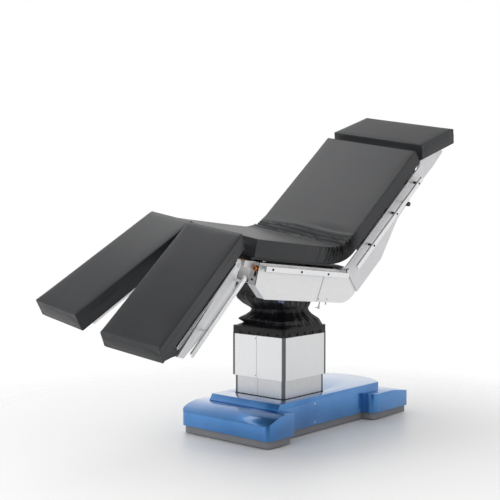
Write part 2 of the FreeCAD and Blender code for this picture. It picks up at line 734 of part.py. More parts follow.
def bellows_upper():
    """Sleeve from the wire frame up to the seat section's under-frame, in the yoke's frame."""
    start = RING_ROD + SOFT_GAP - RING_DROP
    rings = [(start, RING_HALF + RING_ROD)] + [(rise - RING_DROP, half) for rise, half in BELLOWS_UPPER]
    outer = [square_wire(half, z) for z, half in rings]
    inner = [square_wire(half - BELLOWS_WALL, z) for z, half in rings]
    tilt = turned((0, 0, 0), (1, 0, 0), LATERAL)
    return sleeve(outer, inner).cut(above(tilt, BEAM_BOTTOM + PAD_PLANE - SOFT_GAP))


def yoke_parts():
    """Cardan cross with trunnions on both axes, and the wire frame that the bellows hang on."""
    block = box((-YOKE_HALF, YOKE_HALF), (-YOKE_HALF, YOKE_HALF), (-YOKE_HEIGHT, YOKE_HEIGHT))
    along_y = cylinder((0, -BEARING_OUT, 0), (0, 1, 0), TRUNNION_RADIUS, 2 * BEARING_OUT)
    along_x = cylinder((-BEARING_OUT - 1, 0, 0), (1, 0, 0), TRUNNION_RADIUS, 2 * BEARING_OUT + 2)
    edge = RING_HALF
    rods = []
    for side in SIDES.values():
        rods.append(box((-edge, edge), (side * edge - RING_ROD, side * edge + RING_ROD),
                        (-RING_DROP - RING_ROD, -RING_DROP + RING_ROD)))
        rods.append(box((side * edge - RING_ROD, side * edge + RING_ROD), (-edge - RING_ROD, edge + RING_ROD),
                        (-RING_DROP - RING_ROD, -RING_DROP + RING_ROD)))
        rods.append(box((side * (BEARING_OUT + 1), side * edge), (-RING_ROD, RING_ROD),
                        (-RING_ROD, RING_ROD)))
        rods.append(box((side * (edge - RING_ROD), side * edge), (-RING_ROD, RING_ROD),
                        (-RING_DROP, RING_ROD)))
    drive = cylinder((-BEARING_OUT - 1, 0, 0), (-1, 0, 0), DRIVE_RADIUS,
                     LATERAL_DRIVE_LENGTH)
    return {
        "tilt_yoke": fuse([block, along_y, along_x] + rods),
        "lateral_drive": drive.cut(fuse([block, along_x] + rods)),
        "bellows_upper": bellows_upper(),
    }


def beam_outline(grow=0.0):
    """Side view of a seat beam: sloped nose at the foot end and a drum at the hip."""
    arc_steps = 10
    start, end = -90.0, DRUM_END
    arc = []
    for index in range(arc_steps + 1):
        angle = math.radians(start + (end - start) * index / arc_steps)
        arc.append((DRUM_U + (DRUM_RADIUS + grow) * math.cos(angle),
                    DRUM_W + (DRUM_RADIUS + grow) * math.sin(angle)))
    rear = [(point[0] + grow, point[1] + grow) for point in BEAM_REAR]
    return [(BEAM_FRONT - grow, BEAM_TOP + grow), (BEAM_FRONT - grow, BEAM_NOSE_W),
            (BEAM_NOSE_U, BEAM_BOTTOM - grow)] + arc + rear


def hip_axis(y, radius, length, direction=1):
    return cylinder((HIP_U, y, HIP_W), (0, direction, 0), radius, length)


def seat_beam():
    """Right side beam: a box section with the hip bore, button guide and nose slot."""
    outer = side_prism(beam_outline(), (BEAM_IN, BEAM_OUT))
    hollow = side_prism(beam_outline(-BEAM_WALL), (BEAM_IN + BEAM_WALL, BEAM_OUT + 1))
    boss_in = hip_axis(BEAM_IN, HIP_BOSS, BEAM_OUT - BEAM_IN)
    guide_pad = box((BEAM_FRONT, BEAM_FRONT + BUTTON_PAD[0]), (BUTTON_V - BUTTON_PAD[1], BEAM_OUT),
                    (BUTTON_W - BUTTON_PAD[2], BUTTON_W + BUTTON_PAD[2]))
    bore = hip_axis(BEAM_IN - 1, HIP_SHAFT_RADIUS + SHAFT_GAP, BEAM_OUT - BEAM_IN + 2)
    button_bore = cylinder((BEAM_FRONT - 1, BUTTON_V, BUTTON_W), (1, 0, 0), BUTTON_STEM + SHAFT_GAP,
                           BUTTON_BORE)
    slot = box((BEAM_FRONT - 1, BEAM_FRONT + BEAM_WALL + 1),
               (BUTTON_V - NOSE_SLOT_OFFSET - NOSE_SLOT[0], BUTTON_V - NOSE_SLOT_OFFSET),
               (NOSE_SLOT_W - NOSE_SLOT[1] / 2, NOSE_SLOT_W + NOSE_SLOT[1] / 2))
    tongue = coupling_tongue(SLIDE_GAP)
    beam = fuse([outer.cut(hollow), boss_in, guide_pad])
    return beam.cut(bore).cut(button_bore).cut(slot).cut(tongue)


def coupling_tongue(gap):
    """Tongue of a leg coupling, in its socket in the beam's front wall."""
    return box((BEAM_FRONT - 1, BEAM_FRONT + TONGUE_LENGTH),
               (BEAM_IN + BEAM_WALL + TONGUE_INSET_V - gap, COUPLING_V[1] - TONGUE_INSET_V + gap),
               (COUPLING_W[0] + TONGUE_INSET_W - gap, COUPLING_W[1] - TONGUE_INSET_W + gap))


def side_panels():
    """Right side skin of the seat section, in a front and a rear piece."""
    sheet = side_prism(beam_outline(), (BEAM_OUT, BEAM_OUT + PANEL_THICK))
    sheet = sheet.cut(hip_axis(BEAM_OUT - 1, HIP_SHAFT_RADIUS + SHAFT_GAP, PANEL_THICK + 2))
    y = (BEAM_OUT - 1, BEAM_OUT + PANEL_THICK + 1)
    front = sheet.common(box((-BEYOND, PANEL_SEAM_U - SEAM / 2), y, (-BEYOND, BEYOND)))
    rear = sheet.common(box((PANEL_SEAM_U + SEAM / 2, BEYOND), y, (-BEYOND, BEYOND)))
    return [front, rear]


def cross_member(u):
    """Box section across the seat between the two beams."""
    half = CROSS_LENGTH / 2
    tube = box((u - half, u + half), (-BEAM_IN, BEAM_IN), (CROSS_BOTTOM, CROSS_TOP))
    hollow = box((u - half + CROSS_WALL, u + half - CROSS_WALL), (-BEAM_IN - 1, BEAM_IN + 1),
                 (CROSS_BOTTOM + CROSS_WALL, CROSS_TOP - CROSS_WALL))
    return tube.cut(hollow)


def hanger(direction):
    """Plate that hangs from a cross member and holds one lateral trunnion."""
    centre_u = -SEAT_SHIFT
    u = sorted((centre_u + direction * BEARING_IN, centre_u + direction * BEARING_OUT))
    plate = box(u, (-HANGER_HALF, HANGER_HALF), (-PAD_PLANE, CROSS_BOTTOM))
    crown = cylinder((u[0], 0, -PAD_PLANE), (1, 0, 0), HANGER_HALF, u[1] - u[0])
    bore = cylinder((u[0] - 1, 0, -PAD_PLANE), (1, 0, 0), TRUNNION_RADIUS + SHAFT_GAP, u[1] - u[0] + 2)
    return plate.fuse(crown).cut(bore)


def seat_structure():
    centre_u = -SEAT_SHIFT
    near_u = BEARING_IN + CROSS_LENGTH / 2
    members = [cross_member(centre_u - near_u), cross_member(centre_u + near_u)]
    members += [cross_member(END_CROSS_U[0] + CROSS_LENGTH / 2)]
    hangers = [hanger(-1), hanger(1)]
    pan_z = (BEAM_BOTTOM + UNDERPAN_RISE, BEAM_BOTTOM + UNDERPAN_RISE + UNDERPAN_THICK)
    pan = box((UNDERPAN_FRONT, UNDERPAN_REAR), (-BEAM_IN, BEAM_IN), pan_z)
    opening_half = BELLOWS_TOP_HALF - UNDERPAN_LEDGE
    opening = box((centre_u - opening_half, centre_u + opening_half), (-opening_half, opening_half),
                  (pan_z[0] - 1, pan_z[1] + 1))
    return group([fuse([members[0], hangers[0]]), fuse([members[1], hangers[1]]), members[2], pan.cut(opening)])


def rail(x, y_out, z):
    """Accessory side rail with eased edges."""
    bar = box(x, (y_out - RAIL_THICK, y_out), (z - RAIL_HEIGHT / 2, z + RAIL_HEIGHT / 2))
    return bar.makeChamfer(RAIL_EDGE, bar.Edges)


def rail_fixings(positions, seat_y, y_out, z):
    """Spacers behind a rail and the screw heads on its face."""
    parts = []
    for x in positions:
        parts.append(cylinder((x, seat_y, z), (0, 1, 0), SPACER_RADIUS, y_out - RAIL_THICK - seat_y))
        parts.append(cylinder((x, y_out, z), (0, 1, 0), RAIL_SCREW_RADIUS, RAIL_SCREW_HEAD))
    return parts


def coupling():
    """Right leg coupling: block, neck and the eye of the spread pin."""
    block = box((COUPLING_FRONT, BEAM_FRONT), COUPLING_V, COUPLING_W)
    neck = box((LEG_U, COUPLING_FRONT + 1), (SPREAD_V - NECK_HALF, SPREAD_V + NECK_HALF),
               (LEG_W - NECK_HEIGHT, LEG_W + NECK_HEIGHT))
    eye = cylinder((LEG_U, SPREAD_V, LEG_W - EYE_HALF), (0, 0, 1), EYE_RADIUS, 2 * EYE_HALF)
    bore = cylinder((LEG_U, SPREAD_V, LEG_W - EYE_HALF - 1), (0, 0, 1), SPREAD_PIN_RADIUS + SHAFT_GAP,
                    2 * EYE_HALF + 2)
    saddle = box((COUPLING_FRONT, COUPLING_FRONT + SADDLE_LENGTH), (SPREAD_V - NECK_HALF, SPREAD_V + NECK_HALF),
                 (LEG_W - NECK_HEIGHT, COUPLING_W[1]))
    return fuse([block, neck, eye, saddle, coupling_tongue(0)]).cut(bore)


def catch_strip():
    """Orange strip of the right coupling's catch."""
    length, width, height = CATCH
    front, outer = COUPLING_FRONT + CATCH_INSET, COUPLING_V[1] - CATCH_INSET
    return box((front, front + length), (outer - width, outer), (COUPLING_W[1], COUPLING_W[1] + height))


def release_button():
    """Push button in the front of the right beam."""
    back = BEAM_FRONT - BUTTON_TRAVEL
    face = cylinder((back - BUTTON_GAP, BUTTON_V, BUTTON_W), (-1, 0, 0), BUTTON_RADIUS, BUTTON_PROUD)
    stem = cylinder((back - BUTTON_ROOT, BUTTON_V, BUTTON_W), (1, 0, 0), BUTTON_STEM, BUTTON_DEPTH)
    return fuse([face, stem])


def seat_parts():
    beam = seat_beam()
    board = box((SEAT_FRONT + SEAT_BOARD_FRONT, SEAT_PAD_END - SEAT_BOARD_REAR), (-BOARD_HALF, BOARD_HALF),
                (-BOARD_THICK, 0))
    rail_solid = rail(SEAT_RAIL_U, RAIL_OUT, SEAT_RAIL_W)
    fixings = group(rail_fixings(SEAT_RAIL_SCREWS, BEAM_OUT + PANEL_THICK, RAIL_OUT, SEAT_RAIL_W))
    drive = hip_axis(BEAM_IN, HIP_DRIVE_RADIUS, HIP_DRIVE_LENGTH, -1)
    window = cylinder((WINDOW_U, WINDOW_V, BEAM_BOTTOM), (0, 0, -1), WINDOW_RADIUS, WINDOW_DROP)
    stalk = cylinder((SOCKET_U, WINDOW_V, BEAM_BOTTOM), (0, 0, -1), SOCKET_PIN_RADIUS,
                     SOCKET_DROP - LEVER_STALK_RISE)
    ball_w = BEAM_BOTTOM - SOCKET_DROP + LEVER_BALL_RISE
    ball = Part.makeSphere(LEVER_BALL_RADIUS, V(SOCKET_U, WINDOW_V, ball_w))
    lever = cylinder((SOCKET_U - LEVER_REACH, WINDOW_V, ball_w), (1, 0, 0), LEVER_RADIUS, LEVER_LENGTH)
    pin = cylinder((SOCKET_PIN_U, WINDOW_V, BEAM_BOTTOM), (0, 0, -1), SOCKET_PIN_RADIUS, SOCKET_DROP / 2)
    pad = soft_block((SEAT_FRONT, SEAT_PAD_END), (-PAD_HALF, PAD_HALF), (SOFT_GAP, PAD_THICK))
    return {
        "seat_frame": seat_structure(),
        "seat_beam_left": mirrored(beam),
        "seat_beam_right": beam,
        "side_panels": group(side_panels() + [mirrored(item) for item in side_panels()]),
        "seat_board": board,
        "seat_rails": both_sides(rail_solid),
        "seat_rail_fixings": both_sides(fixings),
        "hip_drives": both_sides(drive),
        "ir_window": window,
        "release_lever": group([fuse([stalk, ball, lever]), pin]),
        "leg_couplings": both_sides(coupling()),
        "coupling_catches": both_sides(catch_strip()),
        "seat_pad": pad,
        "hip_pad": hip_pad(),
    }


def rest_point(a, n):
    """Place in the seat's side view of a point that is given along and out of the back."""
    angle = math.radians(BACK_ANGLE)
    return (HIP_U + a * math.cos(angle) - n * math.sin(angle),
            HIP_W + a * math.sin(angle) + n * math.cos(angle))


def hip_pad():
    """The gathered middle of the mattress, a wedge between the seat pad and the back pad."""
    angle = math.radians(BACK_ANGLE)
    back_top = BACK_PAD_RISE + PAD_THICK
    end = BACK_PAD_START - SOFT_GAP
    crease = (PAD_THICK - HIP_W) * math.cos(angle)
    crease_u = HIP_U - (back_top - crease) / math.sin(angle)
    start = SEAT_PAD_END + SOFT_GAP
    outline = [(start, SOFT_GAP), (start, PAD_THICK + SOFT_GAP), (crease_u + 1, PAD_THICK + SOFT_GAP),
               rest_point(end, back_top), rest_point(end, BACK_PAD_RISE + SOFT_GAP),
               rest_point(HIP_PAD_FOOT, BACK_PAD_RISE + SOFT_GAP)]
    return side_prism(outline, (-PAD_HALF, PAD_HALF))


def cheek_y():
    """Inner and outer face of a back cheek, outside the seat's panels."""
    inner = BEAM_OUT + PANEL_THICK + SIDE_GAP
    return inner, inner + CHEEK_THICK


def back_cheek():
    """Right cheek of the back: an upright plate with the hip boss and the head hinge boss."""
    inner, outer = cheek_y()
    head_end = [(HEAD_A, HEAD_N - CHEEK_HEAD_LOW), (HEAD_A, HEAD_N + CHEEK_HEAD_HIGH),
                (HEAD_A - CHEEK_HEAD_CUT, CHEEK_TOP)]
    outline = [(CHEEK_FOOT, CHEEK_TOP)] + list(CHEEK_OUTLINE) + head_end
    plate = side_prism(outline, (inner, outer))
    hip = cylinder((0, inner, 0), (0, 1, 0), HIP_BOSS, CHEEK_THICK)
    link = side_prism([(0, CHEEK_TOP), (0, -HIP_BOSS), (CHEEK_FOOT + 1, -HIP_BOSS - HIP_LINK_DROP),
                       (CHEEK_FOOT + 1, CHEEK_TOP)], (inner, outer))
    head = cylinder((HEAD_A, inner, HEAD_N), (0, 1, 0), HEAD_BOSS, CHEEK_THICK)
    head_bore = cylinder((HEAD_A, inner - 1, HEAD_N), (0, 1, 0), HEAD_PIN_RADIUS + SHAFT_GAP, CHEEK_THICK + 2)
    knob_bore = cylinder((KNOB_A, inner - 1, KNOB_N), (0, 1, 0), KNOB_SHAFT + SHAFT_GAP, CHEEK_THICK + 2)
    return fuse([plate, hip, link, head]).cut(head_bore).cut(knob_bore)


def back_parts():
    inner, outer = cheek_y()
    cheek = back_cheek()
    tubes = [cylinder((a, -inner, BACK_TUBE_N), (0, 1, 0), BACK_TUBE_RADIUS, 2 * inner) for a in BACK_TUBES_A]
    carrier_y = BOARD_HALF - CARRIER_INSET
    carriers = [box((a - CARRIER_HALF, a + CARRIER_HALF), (-carrier_y, carrier_y),
                    (BACK_TUBE_N + CARRIER_SINK, BACK_PAD_RISE - BOARD_THICK)) for a in BACK_TUBES_A]
    frames = [tube.fuse(carrier).removeSplitter() for tube, carrier in zip(tubes, carriers)]
    shaft_length = outer - BEAM_IN
    cap = cylinder((0, outer, 0), (0, 1, 0), HIP_BOSS - HIP_CAP_STEP, HIP_CAP_HEIGHT)
    shaft = fuse([cylinder((0, outer, 0), (0, -1, 0), HIP_SHAFT_RADIUS, shaft_length), cap])
    board = box((BACK_BOARD_START, BACK_BOARD_END), (-BOARD_HALF, BOARD_HALF),
                (BACK_PAD_RISE - BOARD_THICK, BACK_PAD_RISE))
    pad = soft_block((BACK_PAD_START, BACK_PAD_END), (-PAD_HALF, PAD_HALF),
                     (BACK_PAD_RISE + SOFT_GAP, BACK_PAD_RISE + PAD_THICK))
    rail_solid = rail(BACK_RAIL_A, RAIL_OUT, BACK_RAIL_N)
    fixings = group(rail_fixings(BACK_RAIL_SCREWS, outer, RAIL_OUT, BACK_RAIL_N))
    cut_cheek = cheek.cut(cylinder((0, inner - 1, 0), (0, 1, 0), HIP_SHAFT_RADIUS, CHEEK_THICK + 2))
    return {
        "back_cheek_left": mirrored(cut_cheek),
        "back_cheek_right": cut_cheek,
        "back_cross_tubes": group(frames),
        "hip_shafts": both_sides(shaft),
        "back_board": board,
        "back_rails": both_sides(rail_solid),
        "back_rail_fixings": both_sides(fixings),
        "back_pad": pad,
    }


def head_release_knob():
    """Knob on the left cheek that frees the head section's hinge."""
    inner, outer = cheek_y()
    grip = cylinder((KNOB_A, -outer - KNOB_GAP, KNOB_N), (0, -1, 0), KNOB_RADIUS, KNOB_LENGTH)
    ring = KNOB_RADIUS * 1.05
    for index in range(KNOB_FLUTE_COUNT):
        angle = math.radians(360.0 / KNOB_FLUTE_COUNT * index)
        grip = grip.cut(cylinder((KNOB_A + ring * math.cos(angle), -outer, KNOB_N + ring * math.sin(angle)),
                                 (0, -1, 0), KNOB_FLUTE_RADIUS, KNOB_LENGTH + 1))
    stem = cylinder((KNOB_A, -inner + KNOB_STEM_SINK, KNOB_N), (0, -1, 0), KNOB_SHAFT, KNOB_STEM_LENGTH)
    return fuse([grip, stem])


def head_parts():
    inner, outer = cheek_y()
    gusset_out = inner - SIDE_GAP
    gusset = side_prism(GUSSET, (gusset_out - GUSSET_THICK, gusset_out))
    boss = cylinder((0, gusset_out - GUSSET_THICK, 0), (0, 1, 0), HEAD_PIN_RADIUS + GUSSET_BOSS,
                    GUSSET_THICK)
    pin = cylinder((0, gusset_out - 1, 0), (0, 1, 0), HEAD_PIN_RADIUS,
                   outer - gusset_out + 1 + HEAD_PIN_PROUD)
    plate = fuse([gusset, boss, pin])
    tubes = [cylinder((x, -gusset_out + 1, HEAD_PAD_RISE - BOARD_THICK - HEAD_TUBE_RADIUS), (0, 1, 0),
                      HEAD_TUBE_RADIUS, 2 * gusset_out - 2) for x in HEAD_TUBE_X]
    board = box((HEAD_BOARD_START, HEAD_BOARD_END), (-BOARD_HALF, BOARD_HALF),
                (HEAD_PAD_RISE - BOARD_THICK, HEAD_PAD_RISE))
    board = board.cut(plate).cut(mirrored(plate))
    pad = soft_block((0, HEAD_PAD_LENGTH), (-PAD_HALF, PAD_HALF),
                     (HEAD_PAD_RISE + SOFT_GAP, HEAD_PAD_RISE + PAD_THICK))
    return {
        "head_frame": fuse([plate, mirrored(plate)] + tubes),
        "head_board": board,
        "head_pad": pad,
    }


def leg_bracket():
    """Right coupling bracket: a box open to the head side, with spread pin and pitch trunnions."""
    shell = box((BRACKET_WEB[0], BRACKET_HEAD), (-BRACKET_HALF, BRACKET_HALF),
                (-BRACKET_HEIGHT, BRACKET_HEIGHT))
    cavity_z = EYE_HALF + BRACKET_EAR_GAP
    cavity_y = BRACKET_HALF - BRACKET_CHEEK
    cavity = box((BRACKET_WEB[1], BRACKET_HEAD + 1), (-cavity_y, cavity_y), (-cavity_z, cavity_z))
    pin = cylinder((0, 0, -BRACKET_HEIGHT), (0, 0, 1), SPREAD_PIN_RADIUS, 2 * BRACKET_HEIGHT)
    outer = cylinder((0, BRACKET_HALF - 1, 0), (0, 1, 0), TRUNNION_LEG, LEG_BEAM_OUT - BRACKET_HALF + 1)
    inner = cylinder((0, 1 - BRACKET_HALF, 0), (0, -1, 0), TRUNNION_LEG,
                     LEG_BEAM_IN + LEG_BEAM_THICK - BRACKET_HALF + 1)
    return fuse([shell.cut(cavity), pin, outer, inner])


def leg_beam(y):
    """Upright plate of a leg section, deep at the pitch bore and shallow at the foot."""
    outline = [LEG_BEAM_TOP[0], LEG_BEAM_TOP[1], LEG_BEAM_TIP, LEG_BEAM_LOW[0], LEG_BEAM_LOW[1],
               (LEG_BEAM_HEEL, -LEG_BOSS)]
    plate = side_prism(outline, y)
    boss = cylinder((0, min(y), 0), (0, 1, 0), LEG_BOSS, LEG_BEAM_THICK)
    bore = cylinder((0, min(y) - 1, 0), (0, 1, 0), TRUNNION_LEG + SHAFT_GAP, LEG_BEAM_THICK + 2)
    return fuse([plate, boss]).cut(bore)


def leg_structure():
    """Right leg frame: outer and inner beam joined by cross tubes."""
    outer_y = (LEG_BEAM_OUT - LEG_BEAM_THICK, LEG_BEAM_OUT)
    inner_y = (-LEG_BEAM_IN - LEG_BEAM_THICK, -LEG_BEAM_IN)
    tubes = [cylinder((x, inner_y[1] - 1, LEG_TUBE_Z), (0, 1, 0), LEG_TUBE_RADIUS,
                      outer_y[0] - inner_y[1] + 2) for x in LEG_TUBES_X]
    return fuse([leg_beam(outer_y), leg_beam(inner_y)] + tubes)


def wedge_z(x):
    """Height of the leg beams' sloping top edge at x."""
    (x0, z0), (x1, z1) = LEG_BEAM_TOP
    return z0 + (z1 - z0) * (x - x0) / (x1 - x0)


def leg_board():
    """Right moulded board: a flat plate under the pad with a hollow wedge down to the beams."""
    top = LEG_PAD_RISE - SOFT_GAP
    under = top - LEG_PLATE_THICK
    y_out = LEG_PAD_OUT - LEG_PLATE_INSET
    y_in = LEG_PAD_OUT - LEG_PAD_WIDTH + LEG_PLATE_INSET
    plate = box((LEG_PLATE_FOOT, LEG_PLATE_HEAD), (y_in, y_out), (under, top))
    corner = LEG_PAD_CHAMFER
    head = LEG_PLATE_HEAD
    corner_cut = [(head - corner, y_out + 1), (head + 1, y_out + 1), (head + 1, y_out - corner)]
    plate = plate.cut(flat_prism(corner_cut, (under - 1, top + 1)))
    tail = LEG_BEAM_TOP[1][0]
    tail_end = V(LEG_TAIL_END, 0, under)
    tail_mid = V(LEG_TAIL_MID, 0, under - LEG_TAIL_SAG)
    tail_start = V(tail, 0, wedge_z(tail))
    points = [V(WEDGE_START, 0, under), V(WEDGE_START, 0, wedge_z(WEDGE_START)), tail_start]
    edges = [Part.LineSegment(points[0], points[1]).toShape(), Part.LineSegment(points[1], points[2]).toShape(),
             Part.Arc(tail_start, tail_mid, tail_end).toShape(),
             Part.LineSegment(tail_end, points[0]).toShape()]
    face = Part.Face(Part.Wire(edges))
    face.translate(V(0, y_in, 0))
    wedge = face.extrude(V(0, y_out - y_in, 0))
    wall_x = WEDGE_START - WEDGE_WALL
    hollow = side_prism([(wall_x, under), (wall_x, wedge_z(WEDGE_START) - 1),
                         (tail + WEDGE_WALL, wedge_z(tail) - 1), (tail + WEDGE_WALL, under)],
                        (y_in + WEDGE_WALL, y_out - WEDGE_WALL))
    return fuse([plate, wedge.cut(hollow)])


def leg_pad():
    y_in = LEG_PAD_OUT - LEG_PAD_WIDTH
    pad = soft_block((LEG_FOOT, LEG_PAD_HEAD), (y_in, LEG_PAD_OUT), (LEG_PAD_RISE, LEG_PAD_RISE + PAD_THICK))
    corner = LEG_PAD_CHAMFER
    cutter = flat_prism([(LEG_PAD_HEAD - corner, LEG_PAD_OUT + 1), (LEG_PAD_HEAD + 1, LEG_PAD_OUT + 1),
                         (LEG_PAD_HEAD + 1, LEG_PAD_OUT - corner)],
                        (LEG_PAD_RISE - 1, LEG_PAD_RISE + PAD_THICK + 1))
    return pad.cut(cutter)


def leg_rail_parts():
    y_out = RAIL_OUT - SPREAD_V
    return group([rail(LEG_RAIL_X, y_out, LEG_RAIL_Z)]
                 + rail_fixings(LEG_RAIL_SCREWS, LEG_BEAM_OUT, y_out, LEG_RAIL_Z))


def bodies():
    """Every node's shape in its own frame, grouped by the body that it moves with."""
    still = FreeCAD.Placement()
    groups = {
        "base": (still, {**base_parts(), **fixed_column_parts()}),
        "cover_middle": (still, {"column_cover_middle": middle_cover()}),
        "column_upper": (still, moving_column_parts()),
        "tilt_yoke_body": (yoke_frame(), yoke_parts()),
        "seat": (seat_frame(), seat_parts()),
        "back": (back_frame(), back_parts()),
        "head_knob": (back_frame(), {"head_release_knob": head_release_knob()}),
        "head": (head_frame(), head_parts()),
    }
    for name, side in SIDES.items():
        groups["button_" + name] = (seat_frame(), {"release_button_" + name: on_side(release_button(), side)})
        groups["bracket_" + name] = (spread_frame(side), {"leg_bracket_" + name: on_side(leg_bracket(), side)})
        groups["leg_" + name] = (leg_frame(side), {
            "leg_frame_" + name: on_side(leg_structure(), side),
            "leg_board_" + name: on_side(leg_board(), side),
            "leg_rail_" + name: on_side(leg_rail_parts(), side),
            "leg_pad_" + name: on_side(leg_pad(), side),
        })
    return groups


def export(name, shape, placement):
    placed = shape.copy()
    placed.Placement = placement.multiply(placed.Placement)
    placed.exportStep(os.path.join("parts", name + ".step"))
    return placed


def main():
    os.makedirs("parts", exist_ok=True)
    for placement, shapes in bodies().values():
        for name, shape in shapes.items():
            placed = export(name, shape, placement)
            print(name, len(placed.Solids), round(placed.Volume / 1000.0, 1), placed.isValid())


if __name__ == "__main__":
    main()
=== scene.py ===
"""Looks of the operating table: finishes, upholstery, bellows, trim, studio and camera.

Lengths are in millimetres where a class states them, and become metres when a mesh is placed.
Each section of the table has its own frame, read from the joints, and its pieces are
modelled in it.
Left is the side of the table nearest the camera.
"""

import json
import logging
import math
from dataclasses import dataclass, field
from enum import Enum
from typing import Callable, Sequence

import bmesh
import bpy
import numpy as np
from mathutils import Matrix, Vector


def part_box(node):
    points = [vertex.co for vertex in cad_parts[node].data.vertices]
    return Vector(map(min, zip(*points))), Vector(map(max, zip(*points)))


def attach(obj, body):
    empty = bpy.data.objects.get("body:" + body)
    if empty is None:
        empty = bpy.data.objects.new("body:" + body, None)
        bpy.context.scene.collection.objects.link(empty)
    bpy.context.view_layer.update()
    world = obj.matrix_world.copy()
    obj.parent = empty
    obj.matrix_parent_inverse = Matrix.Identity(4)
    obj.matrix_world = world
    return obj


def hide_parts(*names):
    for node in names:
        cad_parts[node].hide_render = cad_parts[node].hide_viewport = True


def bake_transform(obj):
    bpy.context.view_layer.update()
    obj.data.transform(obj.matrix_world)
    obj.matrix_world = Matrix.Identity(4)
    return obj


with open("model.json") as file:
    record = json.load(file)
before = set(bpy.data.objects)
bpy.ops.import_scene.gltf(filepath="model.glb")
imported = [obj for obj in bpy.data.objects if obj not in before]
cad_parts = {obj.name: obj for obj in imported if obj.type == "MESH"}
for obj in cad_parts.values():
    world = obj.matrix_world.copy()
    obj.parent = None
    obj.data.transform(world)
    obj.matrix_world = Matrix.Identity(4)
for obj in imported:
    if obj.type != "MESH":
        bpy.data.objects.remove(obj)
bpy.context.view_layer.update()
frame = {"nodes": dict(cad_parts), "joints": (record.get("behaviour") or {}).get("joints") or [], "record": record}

LOG = logging.getLogger("table")
MM = 0.001
CLOTH = {"use_pressure": True, "uniform_pressure_force": 4.0, "mass": 0.3,
         "tension_stiffness": 60, "compression_stiffness": 60, "bending_stiffness": 8.0}
CLOTH_STEPS = 15

Pair = tuple[float, float]
Outline = tuple[Pair, ...]
Rings = tuple[tuple[float, float, float], ...]


class Side(Enum):
    """The two sides of the table, as the sign of their Y."""

    LEFT = -1
    RIGHT = 1

    @property
    def label(self) -> str:
        """Lower-case name that node and body names end with."""
        return self.name.lower()

    def band(self, limits: Pair) -> Pair:
        """Two limits across the table, on this side of it."""
        return (self.value * limits[0], self.value * limits[1])


class Lay(Enum):
    """Direction that a metal was brushed in, as the stretch of its scratches on each axis."""

    LENGTHWISE = (0.04, 1.0, 1.0)
    UPRIGHT = (1.0, 1.0, 0.04)


def linear(colour: str) -> tuple[float, float, float, float]:
    """Turns an sRGB hex colour into the linear RGBA that a shader takes.

    Args:
        colour: Six hex digits, with or without a leading hash.

    Returns:
        Linear red, green and blue, and an alpha of one.
    """
    digits = colour.lstrip("#")
    channels = [int(digits[i:i + 2], 16) / 255 for i in (0, 2, 4)]
    bent = [c / 12.92 if c <= 0.04045 else ((c + 0.055) / 1.055) ** 2.4 for c in channels]
    return (bent[0], bent[1], bent[2], 1.0)


def set_node(tree: bpy.types.NodeTree, node: bpy.types.Node, settings: dict | None = None,
             links: dict | None = None) -> None:
    """Sets what is given on a node, and links what is given to it.

    Args:
        tree: Node tree that the node is in.
        node: The node.
        settings: Attribute names and input names or numbers, with their values. A colour ramp's
            places and hex colours go under "stops".
        links: Input names or numbers, with the output socket that feeds each.
    """
    for key, value in (settings or {}).items():
        if key == "stops":
            for number, (place, colour) in enumerate(value):
                node.color_ramp.elements[number].position = place
                node.color_ramp.elements[number].color = linear(colour)
        elif isinstance(key, str) and hasattr(node, key) and key not in node.inputs:
            setattr(node, key, value)
        else:
            node.inputs[key].default_value = value
    for key, socket in (links or {}).items():
        tree.links.new(socket, node.inputs[key])


def add_node(tree: bpy.types.NodeTree, kind: str, settings: dict | None = None,
             links: dict | None = None) -> bpy.types.Node:
    """Adds a node with its settings and links.

    Args:
        tree: Node tree that the node joins.
        kind: Blender's name of the node's type.
        settings: What set_node sets.
        links: What set_node links.

    Returns:
        The new node.
    """
    node = tree.nodes.new(kind)
    set_node(tree, node, settings, links)
    return node


def object_pattern(tree: bpy.types.NodeTree, size_mm: float, stretch: Sequence[float] = (1, 1, 1)
                   ) -> dict:
    """Coordinates in which one unit is a stated size on the object.

    Args:
        tree: Material's node tree.
        size_mm: Size of one unit of the pattern, in millimetres.
        stretch: Factor on each axis, under one where the pattern is drawn out.

    Returns:
        Links that feed them to a texture.
    """
    place = add_node(tree, "ShaderNodeTexCoord")
    scale = tuple(1 / (size_mm * MM) * s for s in stretch)
    mapping = add_node(tree, "ShaderNodeMapping", {"Scale": scale},
                       {"Vector": place.outputs["Object"]})
    return {"Vector": mapping.outputs["Vector"]}


@dataclass(frozen=True)
class Finish:
    """What every finish has in common: a name and a material made once."""

    name: str

    def build(self, tree: bpy.types.NodeTree, shader: bpy.types.Node) -> None:
        """Dresses the shader; each finish does it its own way.

        Args:
            tree: Material's node tree.
            shader: The Principled shader.
        """
        raise NotImplementedError

    def material(self) -> bpy.types.Material:
        """The finish's material, made on first use.

        Returns:
            Material with a Principled shader.
        """
        found = bpy.data.materials.get(self.name)
        if found:
            return found
        made = bpy.data.materials.new(self.name)
        made.use_nodes = True
        self.build(made.node_tree, made.node_tree.nodes["Principled BSDF"])
        return made


